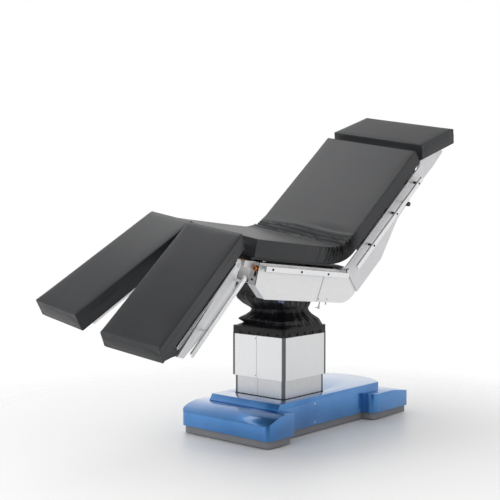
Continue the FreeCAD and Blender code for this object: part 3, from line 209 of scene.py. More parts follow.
@dataclass(frozen=True)
class BrushedSteel(Finish):
    """Stainless sheet, belt-brushed to a satin: soft highlights drawn out across the scratches."""

    dark: str
    light: str
    lay: Lay = Lay.LENGTHWISE
    roughness: float = 0.34
    scratch_mm: float = 1.6
    cloud_mm: float = 140.0
    relief_mm: float = 0.02
    metallic: float = 0.8

    def build(self, tree: bpy.types.NodeTree, shader: bpy.types.Node) -> None:
        """Metal with fine parallel scratches, drawn coarser than real grit so that they show.

        Args:
            tree: Material's node tree.
            shader: The Principled shader.
        """
        scratches = add_node(tree, "ShaderNodeTexNoise", {"Scale": 1.0, "Detail": 3.0},
                             object_pattern(tree, self.scratch_mm, self.lay.value))
        clouds = add_node(tree, "ShaderNodeTexNoise", {"Scale": 1.0, "Detail": 2.0},
                          object_pattern(tree, self.cloud_mm))
        tint = add_node(tree, "ShaderNodeValToRGB",
                        {"stops": ((0.3, self.dark), (0.7, self.light))},
                        {"Fac": scratches.outputs["Fac"]})
        rough = add_node(tree, "ShaderNodeMapRange",
                         {"To Min": self.roughness - 0.06, "To Max": self.roughness + 0.08},
                         {"Value": clouds.outputs["Fac"]})
        bump = add_node(tree, "ShaderNodeBump",
                        {"Strength": 0.12, "Distance": self.relief_mm * MM},
                        {"Height": scratches.outputs["Fac"]})
        set_node(tree, shader, {"Metallic": self.metallic},
                 {"Base Color": tint.outputs["Color"], "Roughness": rough.outputs["Result"],
                  "Normal": bump.outputs["Normal"]})


@dataclass(frozen=True)
class TurnedMetal(Finish):
    """Machined or cast metal, with faint mottling from the tool or the mould."""

    dark: str = "8d8f92"
    light: str = "a6a8ab"
    metallic: float = 1.0
    roughness: float = 0.3
    grain_mm: float = 3.0
    relief_mm: float = 0.02

    def build(self, tree: bpy.types.NodeTree, shader: bpy.types.Node) -> None:
        """Metal whose colour and gloss vary with the grain.

        Args:
            tree: Material's node tree.
            shader: The Principled shader.
        """
        grain = add_node(tree, "ShaderNodeTexNoise", {"Scale": 1.0, "Detail": 4.0},
                         object_pattern(tree, self.grain_mm))
        tint = add_node(tree, "ShaderNodeValToRGB",
                        {"stops": ((0.3, self.dark), (0.7, self.light))},
                        {"Fac": grain.outputs["Fac"]})
        rough = add_node(tree, "ShaderNodeMapRange",
                         {"To Min": self.roughness - 0.05, "To Max": self.roughness + 0.1},
                         {"Value": grain.outputs["Fac"]})
        bump = add_node(tree, "ShaderNodeBump",
                        {"Strength": 0.3, "Distance": self.relief_mm * MM},
                        {"Height": grain.outputs["Fac"]})
        set_node(tree, shader, {"Metallic": self.metallic},
                 {"Base Color": tint.outputs["Color"], "Roughness": rough.outputs["Result"],
                  "Normal": bump.outputs["Normal"]})


@dataclass(frozen=True)
class MetallicLacquer(Finish):
    """Blue base coat with aluminium flake under clear lacquer: deep colour, mirror-like edges."""

    deep: str = "256bb0"
    bright: str = "458ccf"
    flake_mm: float = 1.4
    flake_share: float = 0.25
    cloud_mm: float = 220.0
    peel_mm: float = 6.0
    relief_mm: float = 0.05

    def build(self, tree: bpy.types.NodeTree, shader: bpy.types.Node) -> None:
        """Flaked base coat, its flakes drawn a few times larger than real, under a smooth coat.

        Args:
            tree: Material's node tree.
            shader: The Principled shader.
        """
        flakes = add_node(tree, "ShaderNodeTexVoronoi", {"Scale": 1.0},
                          object_pattern(tree, self.flake_mm))
        clouds = add_node(tree, "ShaderNodeTexNoise", {"Scale": 1.0, "Detail": 2.0},
                          object_pattern(tree, self.cloud_mm))
        mixed = add_node(tree, "ShaderNodeMath", {"operation": "MULTIPLY_ADD", 1: self.flake_share},
                         {0: flakes.outputs["Distance"], 2: clouds.outputs["Fac"]})
        tint = add_node(tree, "ShaderNodeValToRGB",
                        {"stops": ((0.35, self.deep), (0.85, self.bright))},
                        {"Fac": mixed.outputs["Value"]})
        peel = add_node(tree, "ShaderNodeTexNoise", {"Scale": 1.0, "Detail": 1.0},
                        object_pattern(tree, self.peel_mm))
        bump = add_node(tree, "ShaderNodeBump",
                        {"Strength": 0.05, "Distance": self.relief_mm * MM},
                        {"Height": peel.outputs["Fac"]})
        set_node(tree, shader,
                 {"Metallic": 0.8, "Roughness": 0.3, "Coat Weight": 1.0, "Coat Roughness": 0.05},
                 {"Base Color": tint.outputs["Color"], "Coat Normal": bump.outputs["Normal"]})


@dataclass(frozen=True)
class SatinPaint(Finish):
    """Powder coat: an even colour with a fine orange-peel surface."""

    colour: str
    worn: str
    roughness: float
    metallic: float = 0.0
    peel_mm: float = 2.0
    cloud_mm: float = 90.0
    relief_mm: float = 0.04

    def build(self, tree: bpy.types.NodeTree, shader: bpy.types.Node) -> None:
        """Slightly uneven coat with a pebbled relief.

        Args:
            tree: Material's node tree.
            shader: The Principled shader.
        """
        peel = add_node(tree, "ShaderNodeTexNoise", {"Scale": 1.0, "Detail": 2.0},
                        object_pattern(tree, self.peel_mm))
        clouds = add_node(tree, "ShaderNodeTexNoise", {"Scale": 1.0, "Detail": 2.0},
                          object_pattern(tree, self.cloud_mm))
        tint = add_node(tree, "ShaderNodeValToRGB",
                        {"stops": ((0.3, self.worn), (0.7, self.colour))},
                        {"Fac": clouds.outputs["Fac"]})
        bump = add_node(tree, "ShaderNodeBump",
                        {"Strength": 0.2, "Distance": self.relief_mm * MM},
                        {"Height": peel.outputs["Fac"]})
        set_node(tree, shader, {"Metallic": self.metallic, "Roughness": self.roughness},
                 {"Base Color": tint.outputs["Color"], "Normal": bump.outputs["Normal"]})


@dataclass(frozen=True)
class CoatedFabric(Finish):
    """Polyurethane-coated stretch knit, as on theatre pads: dull satin, fine leathery grain."""

    colour: str = "2f3033"
    shade: str = "292a2c"
    # Colour of the shade painted into the folds
    fold_shade: str = "08080a"
    grain_mm: float = 1.5
    rub_mm: float = 120.0
    relief_mm: float = 0.06
    smooth_to_rubbed: tuple[float, float] = (0.40, 0.52)
    fold_dulling: float = 0.4

    def build(self, tree: bpy.types.NodeTree, shader: bpy.types.Node) -> None:
        """Cellular grain, drawn about twice as coarse as real so that it shows; shade painted dark into the folds.

        Args:
            tree: Material's node tree.
            shader: The Principled shader.
        """
        cells = add_node(tree, "ShaderNodeTexVoronoi", {"Scale": 1.0, "feature": "SMOOTH_F1"},
                         object_pattern(tree, self.grain_mm))
        rubbed = add_node(tree, "ShaderNodeTexNoise", {"Scale": 1.0, "Detail": 3.0},
                          object_pattern(tree, self.rub_mm))
        crease = add_node(tree, "ShaderNodeAttribute", {"attribute_name": "crease"}).outputs["Fac"]
        even = add_node(tree, "ShaderNodeMapRange",
                        dict(zip(("To Min", "To Max"), self.smooth_to_rubbed)),
                        {"Value": rubbed.outputs["Fac"]})
        rough = add_node(tree, "ShaderNodeMath",
                         {"operation": "MULTIPLY_ADD", 1: self.fold_dulling},
                         {0: crease, 2: even.outputs["Result"]})
        tint = add_node(tree, "ShaderNodeValToRGB",
                        {"stops": ((0.3, self.shade), (0.7, self.colour))},
                        {"Fac": rubbed.outputs["Fac"]})
        # Painted shade: the colour darkens towards the fold colour as far as the cover sank into its folds
        fold_shaded = add_node(tree, "ShaderNodeMixRGB", {"Color2": linear(self.fold_shade)},
                        {"Fac": crease, "Color1": tint.outputs["Color"]})
        bump = add_node(tree, "ShaderNodeBump",
                        {"Strength": 0.35, "Distance": self.relief_mm * MM},
                        {"Height": cells.outputs["Distance"]})
        set_node(tree, shader,
                 {"Sheen Weight": 0.08, "Sheen Roughness": 0.4, "Specular IOR Level": 0.42},
                 {"Base Color": fold_shaded.outputs["Color"], "Roughness": rough.outputs["Value"],
                  "Normal": bump.outputs["Normal"]})


@dataclass(frozen=True)
class Moulding(Finish):
    """Moulded plastic or rubber: one colour, a spark-eroded or talced surface."""

    colour: str
    shade: str
    roughness: float
    texture_mm: float = 1.0
    relief_mm: float = 0.05
    specular: float = 0.5
    cloud_mm: float = 60.0

    def build(self, tree: bpy.types.NodeTree, shader: bpy.types.Node) -> None:
        """Speckled relief from the mould, and slight clouding of colour.

        Args:
            tree: Material's node tree.
            shader: The Principled shader.
        """
        speckle = add_node(tree, "ShaderNodeTexNoise", {"Scale": 1.0, "Detail": 3.0},
                           object_pattern(tree, self.texture_mm))
        clouds = add_node(tree, "ShaderNodeTexNoise", {"Scale": 1.0, "Detail": 2.0},
                          object_pattern(tree, self.cloud_mm))
        tint = add_node(tree, "ShaderNodeValToRGB",
                        {"stops": ((0.3, self.shade), (0.7, self.colour))},
                        {"Fac": clouds.outputs["Fac"]})
        bump = add_node(tree, "ShaderNodeBump",
                        {"Strength": 0.25, "Distance": self.relief_mm * MM},
                        {"Height": speckle.outputs["Fac"]})
        set_node(tree, shader, {"Roughness": self.roughness, "Specular IOR Level": self.specular},
                 {"Base Color": tint.outputs["Color"], "Normal": bump.outputs["Normal"]})


# Belt-brushed stainless of the column: pale, its highlights stand upright
STEEL_UPRIGHT = BrushedSteel("satin_stainless_upright", "e8e9ea", "efeff0", Lay.UPRIGHT)
# The same steel on the two inner covers, made darker as painted shade under the outer one
COLUMN_INNER_SHADED = BrushedSteel("satin_stainless_inner_cover", "d0d1d2", "e0e1e2", Lay.UPRIGHT, 0.38)
# Ground bar of the side rails: the brightest metal, with a sharp edge
RAIL_STEEL = BrushedSteel("satin_stainless_rail", "f2f2f3", "fcfcfc", roughness=0.26)
# Sheet panels of the seat: nearly white, blurred reflections
PANEL_STEEL = BrushedSteel("satin_stainless_panel", "eeeeef", "f7f7f8", roughness=0.4)
# Turned shafts and screws: mid grey with a clear glint
MACHINED = TurnedMetal("machined_steel")
# Polished small parts: light, nearly a mirror
BRIGHT = TurnedMetal("polished_steel", "d2d4d6", "e6e7e9", roughness=0.12, relief_mm=0.005)
# Extruded leg beams, etched and anodised: light and evenly matt
EXTRUSION = TurnedMetal("anodised_aluminium", "d2d4d6", "e2e4e6", roughness=0.36)
# Painted iron casting of the frame: dark, coarse and dull
CASTING = TurnedMetal("cast_iron", "3a3b3d", "48494b", 0.6, 0.6, 4.0, 0.2)
# Dark upright line at the column's corners: a painted reflection on the rounded profile
CORNER_REFLECTION = TurnedMetal("dark_rolled_steel", "5c5d5f", "6e6f71", roughness=0.3)
# Oxide-blackened screws and washers: nearly black dots with a little glint
DARK_STEEL = TurnedMetal("blackened_steel", "37383a", "434446", roughness=0.35)
# Base cover: saturated blue that turns light where it faces the light
LACQUER = MetallicLacquer("metallic_blue_lacquer")
# Cheeks of the back: a silvery white coat
CHEEK_PAINT = SatinPaint("silver_powder_coat", "f0f0f2", "e8e8ea", 0.34, 0.35)
# Inner structure: black, low gloss
BLACK_PAINT = SatinPaint("black_powder_coat", "2b2c2e", "232426", 0.45)
# Plinth under the base cover: plain mid grey, matt
PLINTH = Moulding("grey_abs", "88898e", "818287", 0.55)
# Bellows, collar and seals: black with a faint waxy shine
RUBBER = Moulding("black_rubber", "151418", "0f0e12", 0.4, 2.0, 0.05, 0.32)
# Feet: dark grey and dull
FOOT_RUBBER = Moulding("grey_foot_rubber", "303133", "28292b", 0.7, 1.5, 0.1)
# Boards under the pads: nearly black, satin
BOARD = Moulding("black_laminate", "1f2022", "191a1c", 0.42)
# Drive housings: black, semi-matt
DRIVE = Moulding("black_nylon", "26272a", "1f2022", 0.5)
# Knob of the head section: glossy black
KNOB = Moulding("black_phenolic", "1c1c1e", "161617", 0.3)
# Window of the remote control's receiver: bluish and smooth
WINDOW = Moulding("smoked_acrylic", "6f7aa0", "5c668c", 0.08, 3.0, 0.01)
# Catches of the leg couplings: dull ochre
CATCH = Moulding("ochre_polyamide", "c08c58", "b07e4c", 0.4, 1.0, 0.02)
# Release buttons: bright orange with a soft gloss
ORANGE = Moulding("orange_polyamide", "f08a2e", "e67c22", 0.3, 1.0, 0.02)
# Pads: charcoal, a broad dull sheen
PAD = CoatedFabric("coated_pad_fabric")

SLOT_FINISH: dict[str, Finish] = {
    "base_paint": LACQUER, "frame_iron": CASTING, "plinth_plastic": PLINTH,
    "foot_rubber": FOOT_RUBBER, "bellows_rubber": RUBBER, "cover_steel": STEEL_UPRIGHT,
    "machined_steel": MACHINED, "bright_steel": BRIGHT, "panel_steel": PANEL_STEEL,
    "cheek_paint": CHEEK_PAINT, "structure_paint": BLACK_PAINT, "tube_aluminium": EXTRUSION,
    "board_laminate": BOARD, "pad_cover": PAD, "drive_plastic": DRIVE, "window_plastic": WINDOW,
    "release_orange": ORANGE, "knob_plastic": KNOB,
}
NODE_FINISH: dict[str, Finish] = {
    "seat_rails": RAIL_STEEL, "back_rails": RAIL_STEEL, "leg_rail_left": RAIL_STEEL,
    "leg_rail_right": RAIL_STEEL, "back_rail_fixings": DARK_STEEL, "seat_rail_fixings": DARK_STEEL,
    "coupling_catches": CATCH, "column_cover_lower": COLUMN_INNER_SHADED,
    "column_cover_middle": COLUMN_INNER_SHADED,
}


@dataclass(frozen=True)
class Axes:
    """A section's own frame in the row frame, with lengths in metres."""

    origin: Vector
    x: Vector
    y: Vector
    z: Vector

    def matrix(self) -> Matrix:
        """Matrix that places local millimetres in the row frame.

        Returns:
            Scaling to metres, then the turn and the shift.
        """
        turn = Matrix((self.x, self.y, self.z)).transposed().to_4x4()
        return Matrix.Translation(self.origin) @ turn @ Matrix.Scale(MM, 4)

    def point(self, x: float, y: float, z: float) -> Vector:
        """Row-frame point of local millimetres."""
        return self.matrix() @ Vector((x, y, z))

    def moved(self, x: float, y: float, z: float) -> "Axes":
        """The same directions from another local point, in millimetres."""
        return Axes(self.point(x, y, z), self.x, self.y, self.z)

    def lifted(self, degrees: float) -> "Axes":
        """The frame turned about its y axis, so that x rises towards z.

        Args:
            degrees: Angle of the turn.

        Returns:
            The turned frame.
        """
        a = math.radians(degrees)
        return Axes(self.origin, self.x * math.cos(a) + self.z * math.sin(a), self.y,
                    self.z * math.cos(a) - self.x * math.sin(a))


def joint(name: str) -> dict:
    """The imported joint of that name."""
    return next(j for j in frame["joints"] if j["name"] == name)


class Frames:
    """The sections' frames at rest, worked out from the joints.

    The limits are degrees, of the back over the seat and of the head section to the back. The
    seat's frame lies in its pad board's plane, so many millimetres over the tilt axis and along.
    """

    BACK_LIMIT = 80.0
    HEAD_LIMIT = -45.0
    PAD_PLANE = 129.7
    SEAT_SHIFT = -3.0

    def __init__(self) -> None:
        """Reads axes and places, and works out each section's angle from its joint's limits."""
        lateral, back = joint("lateral_tilt"), joint("back_hinge")
        u, v = Vector(lateral["axis"]).normalized(), -Vector(back["axis"]).normalized()
        centre = Axes(Vector(lateral["pos_m"]), u, v, u.cross(v))
        self.tilt_centre = centre
        self.seat = centre.moved(self.SEAT_SHIFT, 0, self.PAD_PLANE)
        hip = Axes(Vector(back["pos_m"]), u, v, centre.z)
        self.back_angle = self.BACK_LIMIT - back["range_deg"][1]
        self.back = hip.lifted(self.back_angle)
        head = joint("head_hinge")
        drop = head["range_deg"][0] - self.HEAD_LIMIT
        self.head = Axes(Vector(head["pos_m"]), self.back.x, v, self.back.z).lifted(-drop)
        self.bracket = {side: self.leg_bracket(side) for side in Side}
        self.leg = {}
        for side, bracket in self.bracket.items():
            rest = -joint("leg_pitch_" + side.label)["range_deg"][0]
            self.leg[side] = bracket.lifted(rest)

    def leg_bracket(self, side: Side) -> Axes:
        """Frame of a leg section's coupling bracket, on its spread pin.

        Args:
            side: Side of the table.

        Returns:
            The bracket's frame.
        """
        pitch, spread = joint("leg_pitch_" + side.label), joint("leg_spread_" + side.label)
        y = -Vector(pitch["axis"]).normalized()
        z = Vector(spread["axis"]).normalized() * -side.value
        return Axes(Vector(pitch["pos_m"]), y.cross(z), y, z)


FRAMES = Frames()
TABLE = Axes(Vector(), Vector((1, 0, 0)), Vector((0, 1, 0)), Vector((0, 0, 1)))


class Piece:
    """One new object, modelled in edit mode and then placed, dressed and hung on a body."""

    def __init__(self, name: str) -> None:
        """Takes over the primitive that was just added.

        Args:
            name: Name that the piece keeps.
        """
        self.obj = bpy.context.object
        self.obj.name = name
        self.obj.data.name = name

    @staticmethod
    def clear() -> None:
        """Leaves edit mode and deselects all objects."""
        if bpy.context.object and bpy.context.object.mode != "OBJECT":
            bpy.ops.object.mode_set(mode="OBJECT")
        bpy.ops.object.select_all(action="DESELECT")

    @classmethod
    def block(cls, name: str, x: Sequence[float], y: Sequence[float],
              z: Sequence[float]) -> "Piece":
        """Block between two limits on each axis.

        Args:
            name: Name of the new piece.
            x: The two limits along, in local millimetres.
            y: The two limits across.
            z: The two limits upwards.

        Returns:
            The block.
        """
        cls.clear()
        bpy.ops.mesh.primitive_cube_add(size=1)
        piece = cls(name)
        for vertex in piece.obj.data.vertices:
            vertex.co = [sum(pair) / 2 + c * abs(pair[1] - pair[0])
                         for c, pair in zip(vertex.co, (x, y, z))]
        return piece

    @classmethod
    def prism(cls, name: str, outline: Sequence[tuple[float, float]], span: Sequence[float],
              upright: bool = False) -> "Piece":
        """Solid of one outline, drawn out across the table or upwards.

        Args:
            name: Name of the new piece.
            outline: Corner points, as along and up, or as along and across where it is upright.
            span: The two limits that it is drawn out between.
            upright: Whether it is drawn out upwards.

        Returns:
            The solid.
        """
        cls.clear()
        bpy.ops.mesh.primitive_circle_add(vertices=len(outline), radius=1, fill_type="NGON")
        piece = cls(name)
        low, depth = min(span), abs(span[1] - span[0])
        for vertex, (first, second) in zip(piece.obj.data.vertices, outline):
            vertex.co = (first, second, low) if upright else (first, low, second)
        piece.edit()
        bpy.ops.mesh.select_all(action="SELECT")
        bpy.ops.mesh.extrude_region_move(
            TRANSFORM_OT_translate={"value": (0, 0, depth) if upright else (0, depth, 0)})
        bpy.ops.mesh.select_all(action="SELECT")
        bpy.ops.mesh.normals_make_consistent(inside=False)
        piece.done()
        return piece

    @classmethod
    def rod(cls, name: str, centre: Sequence[float], axis: Sequence[float], radius: float,
            length: float, sides: int = 40) -> "Piece":
        """Closed round bar.

        Args:
            name: Name of the new piece.
            centre: Its middle, in local millimetres.
            axis: Its direction.
            radius: Its radius.
            length: Its length.
            sides: Faces round it.

        Returns:
            The bar.
        """
        cls.clear()
        bpy.ops.mesh.primitive_cylinder_add(vertices=sides, radius=radius, depth=length)
        piece = cls(name)
        turn = Vector(axis).to_track_quat("Z", "Y").to_matrix().to_4x4()
        piece.obj.data.transform(Matrix.Translation(centre) @ turn)
        return piece

    @classmethod
    def rounded_copy(cls, node: str, name: str, rounding: float, segments: int) -> "Piece":
        """Copy of a CAD node with its doubles and flat faces merged and its edges rounded.

        Args:
            node: CAD node that is copied.
            name: Name of the new piece.
            rounding: Width of the rounding, in millimetres.
            segments: Faces across the rounding.

        Returns:
            The copy, in row-frame metres.
        """
        cls.clear()
        obj = bpy.data.objects.new(name, frame["nodes"][node].data.copy())
        bpy.context.scene.collection.objects.link(obj)
        bpy.context.view_layer.objects.active = obj
        obj.select_set(True)
        piece = cls(name)
        for merge, limit in ((bpy.ops.mesh.remove_doubles, {"threshold": 0.01 * MM}),
                             (bpy.ops.mesh.dissolve_limited, {"angle_limit": math.radians(1.0)})):
            piece.edit()
            bpy.ops.mesh.select_all(action="SELECT")
            merge(**limit)
            piece.done()
        return piece.soften(rounding * MM, segments, 28)

    def edit(self) -> None:
        """Enters edit mode with nothing selected, in face mode."""
        bpy.context.view_layer.objects.active = self.obj
        self.obj.select_set(True)
        bpy.ops.object.mode_set(mode="EDIT")
        bpy.ops.mesh.select_mode(type="FACE")
        bpy.ops.mesh.select_all(action="DESELECT")

    def done(self) -> None:
        """Back to object mode."""
        bpy.ops.object.mode_set(mode="OBJECT")

    def soften(self, width: float, segments: int = 2, angle: float = 30.0) -> "Piece":
        """Rounds the sharp edges.

        Args:
            width: Width of the rounding, in the mesh's units.
            segments: Faces across it.
            angle: Degrees between two faces from which their edge counts as sharp.

        Returns:
            The piece itself.
        """
        modifier = self.obj.modifiers.new("edges", "BEVEL")
        modifier.width = width
        modifier.segments = segments
        modifier.limit_method = "ANGLE"
        modifier.angle_limit = math.radians(angle)
        modifier.harden_normals = False
        return self.apply(modifier)

    def apply(self, modifier: bpy.types.Modifier) -> "Piece":
        """Applies one modifier.

        Args:
            modifier: The modifier, which is on this piece.

        Returns:
            The piece itself.
        """
        bpy.context.view_layer.objects.active = self.obj
        bpy.ops.object.modifier_apply(modifier=modifier.name)
        return self

    def place(self, axes: Axes) -> "Piece":
        """Puts local millimetres into the row frame, in the mesh itself."""
        self.obj.data.transform(axes.matrix())
        return self

    def join(self, others: Sequence["Piece"]) -> "Piece":
        """Takes other pieces into this one.

        Args:
            others: Pieces that become part of this one.

        Returns:
            The piece itself.
        """
        self.clear()
        for piece in others:
            piece.obj.select_set(True)
        self.obj.select_set(True)
        bpy.context.view_layer.objects.active = self.obj
        bpy.ops.object.join()
        return self

    def dress(self, finish: Finish, body: str | None, slot: str, smooth: float = 30.0) -> "Piece":
        """Gives the finish, smooth shading and its body.

        Args:
            finish: What the piece is made of.
            body: Body that it rides on, or None where it rides on none.
            slot: The record's material slot; not used.
            smooth: Angle in degrees under which faces shade as one.

        Returns:
            The piece itself.
        """
        self.clear()
        self.obj.data.materials.clear()
        self.obj.data.materials.append(finish.material())
        self.obj.select_set(True)
        bpy.context.view_layer.objects.active = self.obj
        bpy.ops.object.shade_smooth_by_angle(angle=math.radians(smooth))
        if body:
            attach(self.obj, body)
        LOG.info("%s: %d faces on %s", self.obj.name, len(self.obj.data.polygons), body)
        return self


def stations(low: float, high: float, radius: float, count: int) -> np.ndarray:
    """Places along an edge of a pad, close together where the edge is rounded.

    Args:
        low: Lower end.
        high: Upper end.
        radius: Rounding radius at both ends.
        count: How many places.

    Returns:
        Rising array with that many values.
    """
    close = np.array([0, 0.2, 0.45, 0.72]) * radius
    middle = np.linspace(low + radius, high - radius, count - 2 * len(close))
    return np.concatenate([low + close, middle, high - close[::-1]])


@dataclass(frozen=True)
class Wave:
    """Sine that sways a fold: its height, its angle per unit and its angle at nought."""

    height: float
    rate: float
    start: float = 0.0

    def at(self, places: np.ndarray, shift: float = 0.0) -> np.ndarray:
        """Height of the wave at each place, begun later by a shift."""
        return self.height * np.sin(self.rate * places + self.start + shift)


@dataclass
class Cushion:
    """Foam pad in a sewn cover: crowned, with rounded edges, a welt and sides that pull in."""

    name: str
    x: Pair
    y: Pair
    z: Pair
    radius: float = 4.0
    crown: float = 3.0
    waist: float = 0.5
    waist_power: int = 8
    cuts: tuple[int, int, int] = (46, 34, 16)
    swell: float = 1.5
    welt: float = 0.9
    corner_cut: float = 0.0
    corner_side: int = 1
    piece: Piece = field(init=False)

    def __post_init__(self) -> None:
        """Starts from a cube, cut across each of its three directions in turn."""
        Piece.clear()
        bpy.ops.mesh.primitive_cube_add(size=2)
        self.piece = Piece(self.name)
        for axis, cuts in enumerate(self.cuts):
            self.piece.edit()
            bpy.ops.mesh.select_mode(type="EDGE")
            shape = bmesh.from_edit_mesh(self.piece.obj.data)
            for edge in shape.edges:
                ends = [vertex.co[axis] for vertex in edge.verts]
                edge.select_set(abs(ends[0] - ends[1]) > 1e-4)
            bmesh.update_edit_mesh(self.piece.obj.data)
            bpy.ops.mesh.subdivide(number_cuts=cuts)
            self.piece.done()
        self.grid = self.read()
        spans = np.array(self.cuts) + 1
        self.steps = np.rint((self.grid + 1) / 2 * spans).astype(int)

    def read(self) -> np.ndarray:
        """Vertex places.

        Returns:
            One row of x, y and z for each vertex.
        """
        places = np.empty(len(self.piece.obj.data.vertices) * 3)
        self.piece.obj.data.vertices.foreach_get("co", places)
        return places.reshape(-1, 3)

    def write(self, places: np.ndarray) -> None:
        """Sets the vertex places, as read gives them."""
        self.piece.obj.data.vertices.foreach_set("co", places.ravel())
        self.piece.obj.data.update()

    def station(self, axis: int, low: float, high: float) -> np.ndarray:
        """Places of all vertices along one axis, between two limits."""
        return stations(low, high, self.radius, self.cuts[axis] + 2)[self.steps[:, axis]]

    def rounded(self) -> np.ndarray:
        """The pad as a box with rounded edges.

        Returns:
            Vertex places.
        """
        limits = (self.x, self.y, self.z)
        places = np.stack([self.station(i, *pair) for i, pair in enumerate(limits)], axis=1)
        inner = np.stack([np.clip(places[:, i], low + self.radius, high - self.radius)
                          for i, (low, high) in enumerate(limits)], axis=1)
        out = places - inner
        length = np.linalg.norm(out, axis=1, keepdims=True)
        return inner + out / np.maximum(length, 1e-9) * self.radius

    def shape(self) -> np.ndarray:
        """Rounded box with a crown on top and sides that pull in between the corners.

        Returns:
            Vertex places.
        """
        places = self.rounded()
        reach = self.grid
        top = np.clip(reach[:, 2], 0, 1) ** 2
        dome = (1 - reach[:, 0] ** 2) * (1 - reach[:, 1] ** 2) - 0.5
        places[:, 2] += self.crown * top * dome
        mid = 1 - reach[:, 2] ** 2
        for axis, other in ((0, 1), (1, 0)):
            side = np.sign(reach[:, axis]) * np.abs(reach[:, axis]) ** self.waist_power
            places[:, axis] -= self.waist * side * mid * (1 - reach[:, other] ** 4)
        return self.trim_corner(places)

    def trim_corner(self, places: np.ndarray) -> np.ndarray:
        """Pushes in the head-side outer corner where the pad has to pass its neighbour.

        Args:
            places: Vertex places, which are changed.

        Returns:
            The same places.
        """
        if not self.corner_cut:
            return places
        edge = self.y[1] if self.corner_side > 0 else self.y[0]
        past = (self.x[1] - places[:, 0]) + (edge - places[:, 1]) * self.corner_side
        push = np.clip(self.corner_cut - past, 0, None) / 2
        places[:, 0] -= push
        places[:, 1] -= push * self.corner_side
        return places

    def inflate(self) -> None:
        """Swells the cover under a little pressure, each point by no more than the swell."""
        start = self.read()
        self.piece.obj.data.transform(Matrix.Scale(MM, 4))
        modifier = self.piece.obj.modifiers.new("swell", "CLOTH")
        for setting, value in CLOTH.items():
            setattr(modifier.settings, setting, value)
        modifier.settings.effector_weights.gravity = 0.0
        modifier.collision_settings.use_collision = False
        for step in range(1, CLOTH_STEPS + 1):
            bpy.context.scene.frame_set(step)
        graph = bpy.context.evaluated_depsgraph_get()
        swollen = self.piece.obj.evaluated_get(graph).to_mesh()
        moved = np.empty(len(swollen.vertices) * 3)
        swollen.vertices.foreach_get("co", moved)
        moved = moved.reshape(-1, 3) / MM
        self.piece.obj.modifiers.remove(modifier)
        bpy.context.scene.frame_set(1)
        shift = moved - start
        length = np.linalg.norm(shift, axis=1, keepdims=True)
        self.write(start + shift * np.minimum(1, self.swell / np.maximum(length, 1e-9)))

    def keep_inside(self) -> None:
        """Holds the swollen pad to its limits, so that it clears its neighbours."""
        places = self.read()
        for i, (low, high) in enumerate((self.x, self.y, self.z)):
            below, above = (0.0, self.crown) if i == 2 else (self.swell, self.swell)
            places[:, i] = np.clip(places[:, i], low - below, high + above)
        self.write(self.trim_corner(places))

    def edge_line(self, ends: Sequence[tuple[int, int]], along: int) -> np.ndarray:
        """Points of the mesh along one edge of the pad, in order.

        Args:
            ends: The two axes that the edge is at an end of, each with the sign of that end.
            along: Axis that the edge follows.

        Returns:
            Vertex places.
        """
        at_edge = [self.grid[:, axis] * sign > 1 - 1e-4 for axis, sign in ends]
        chosen = np.flatnonzero(at_edge[0] & at_edge[1])
        return self.read()[chosen[np.argsort(self.grid[chosen, along])]]

    def welts(self) -> list[Piece]:
        """Sewn welts along the upper edges and up the four corners.

        Returns:
            One bead for each edge.
        """
        lines = []
        for sign in (-1, 1):
            lines.append(self.edge_line(((1, sign), (2, 1)), 0))
            lines.append(self.edge_line(((0, sign), (2, 1)), 1))
            for other in (-1, 1):
                lines.append(self.edge_line(((0, sign), (1, other)), 2))
        return [cord_along(self.name + "_welt", line, self.welt) for line in lines]

    def make(self, axes: Axes, body: str, node: str) -> Piece:
        """Shapes, swells, sews and places the pad.

        Args:
            axes: Section's frame.
            body: Body that it rides on.
            node: CAD pad that it stands for.

        Returns:
            The finished pad.
        """
        self.write(self.shape())
        self.inflate()
        self.keep_inside()
        self.piece.join(self.welts())
        self.piece.place(axes).dress(PAD, body, "pad_cover", 60)
        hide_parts(node)
        return self.piece


def cord_along(name: str, line: np.ndarray, radius: float) -> Piece:
    """Thin round bead along a line of points, as a mesh.

    Args:
        name: Name of the new piece.
        line: Points in order.
        radius: Bead's radius, in the points' units.

    Returns:
        The bead.
    """
    Piece.clear()
    curve = bpy.data.curves.new(name, "CURVE")
    curve.dimensions = "3D"
    curve.bevel_depth = radius
    curve.bevel_resolution = 1
    curve.use_fill_caps = True
    spline = curve.splines.new("POLY")
    spline.points.add(len(line) - 1)
    for point, place in zip(spline.points, line):
        point.co = (*place, 1)
    obj = bpy.data.objects.new(name, curve)
    bpy.context.scene.collection.objects.link(obj)
    bpy.context.view_layer.objects.active = obj
    obj.select_set(True)
    bpy.ops.object.convert(target="MESH")
    return Piece(name)


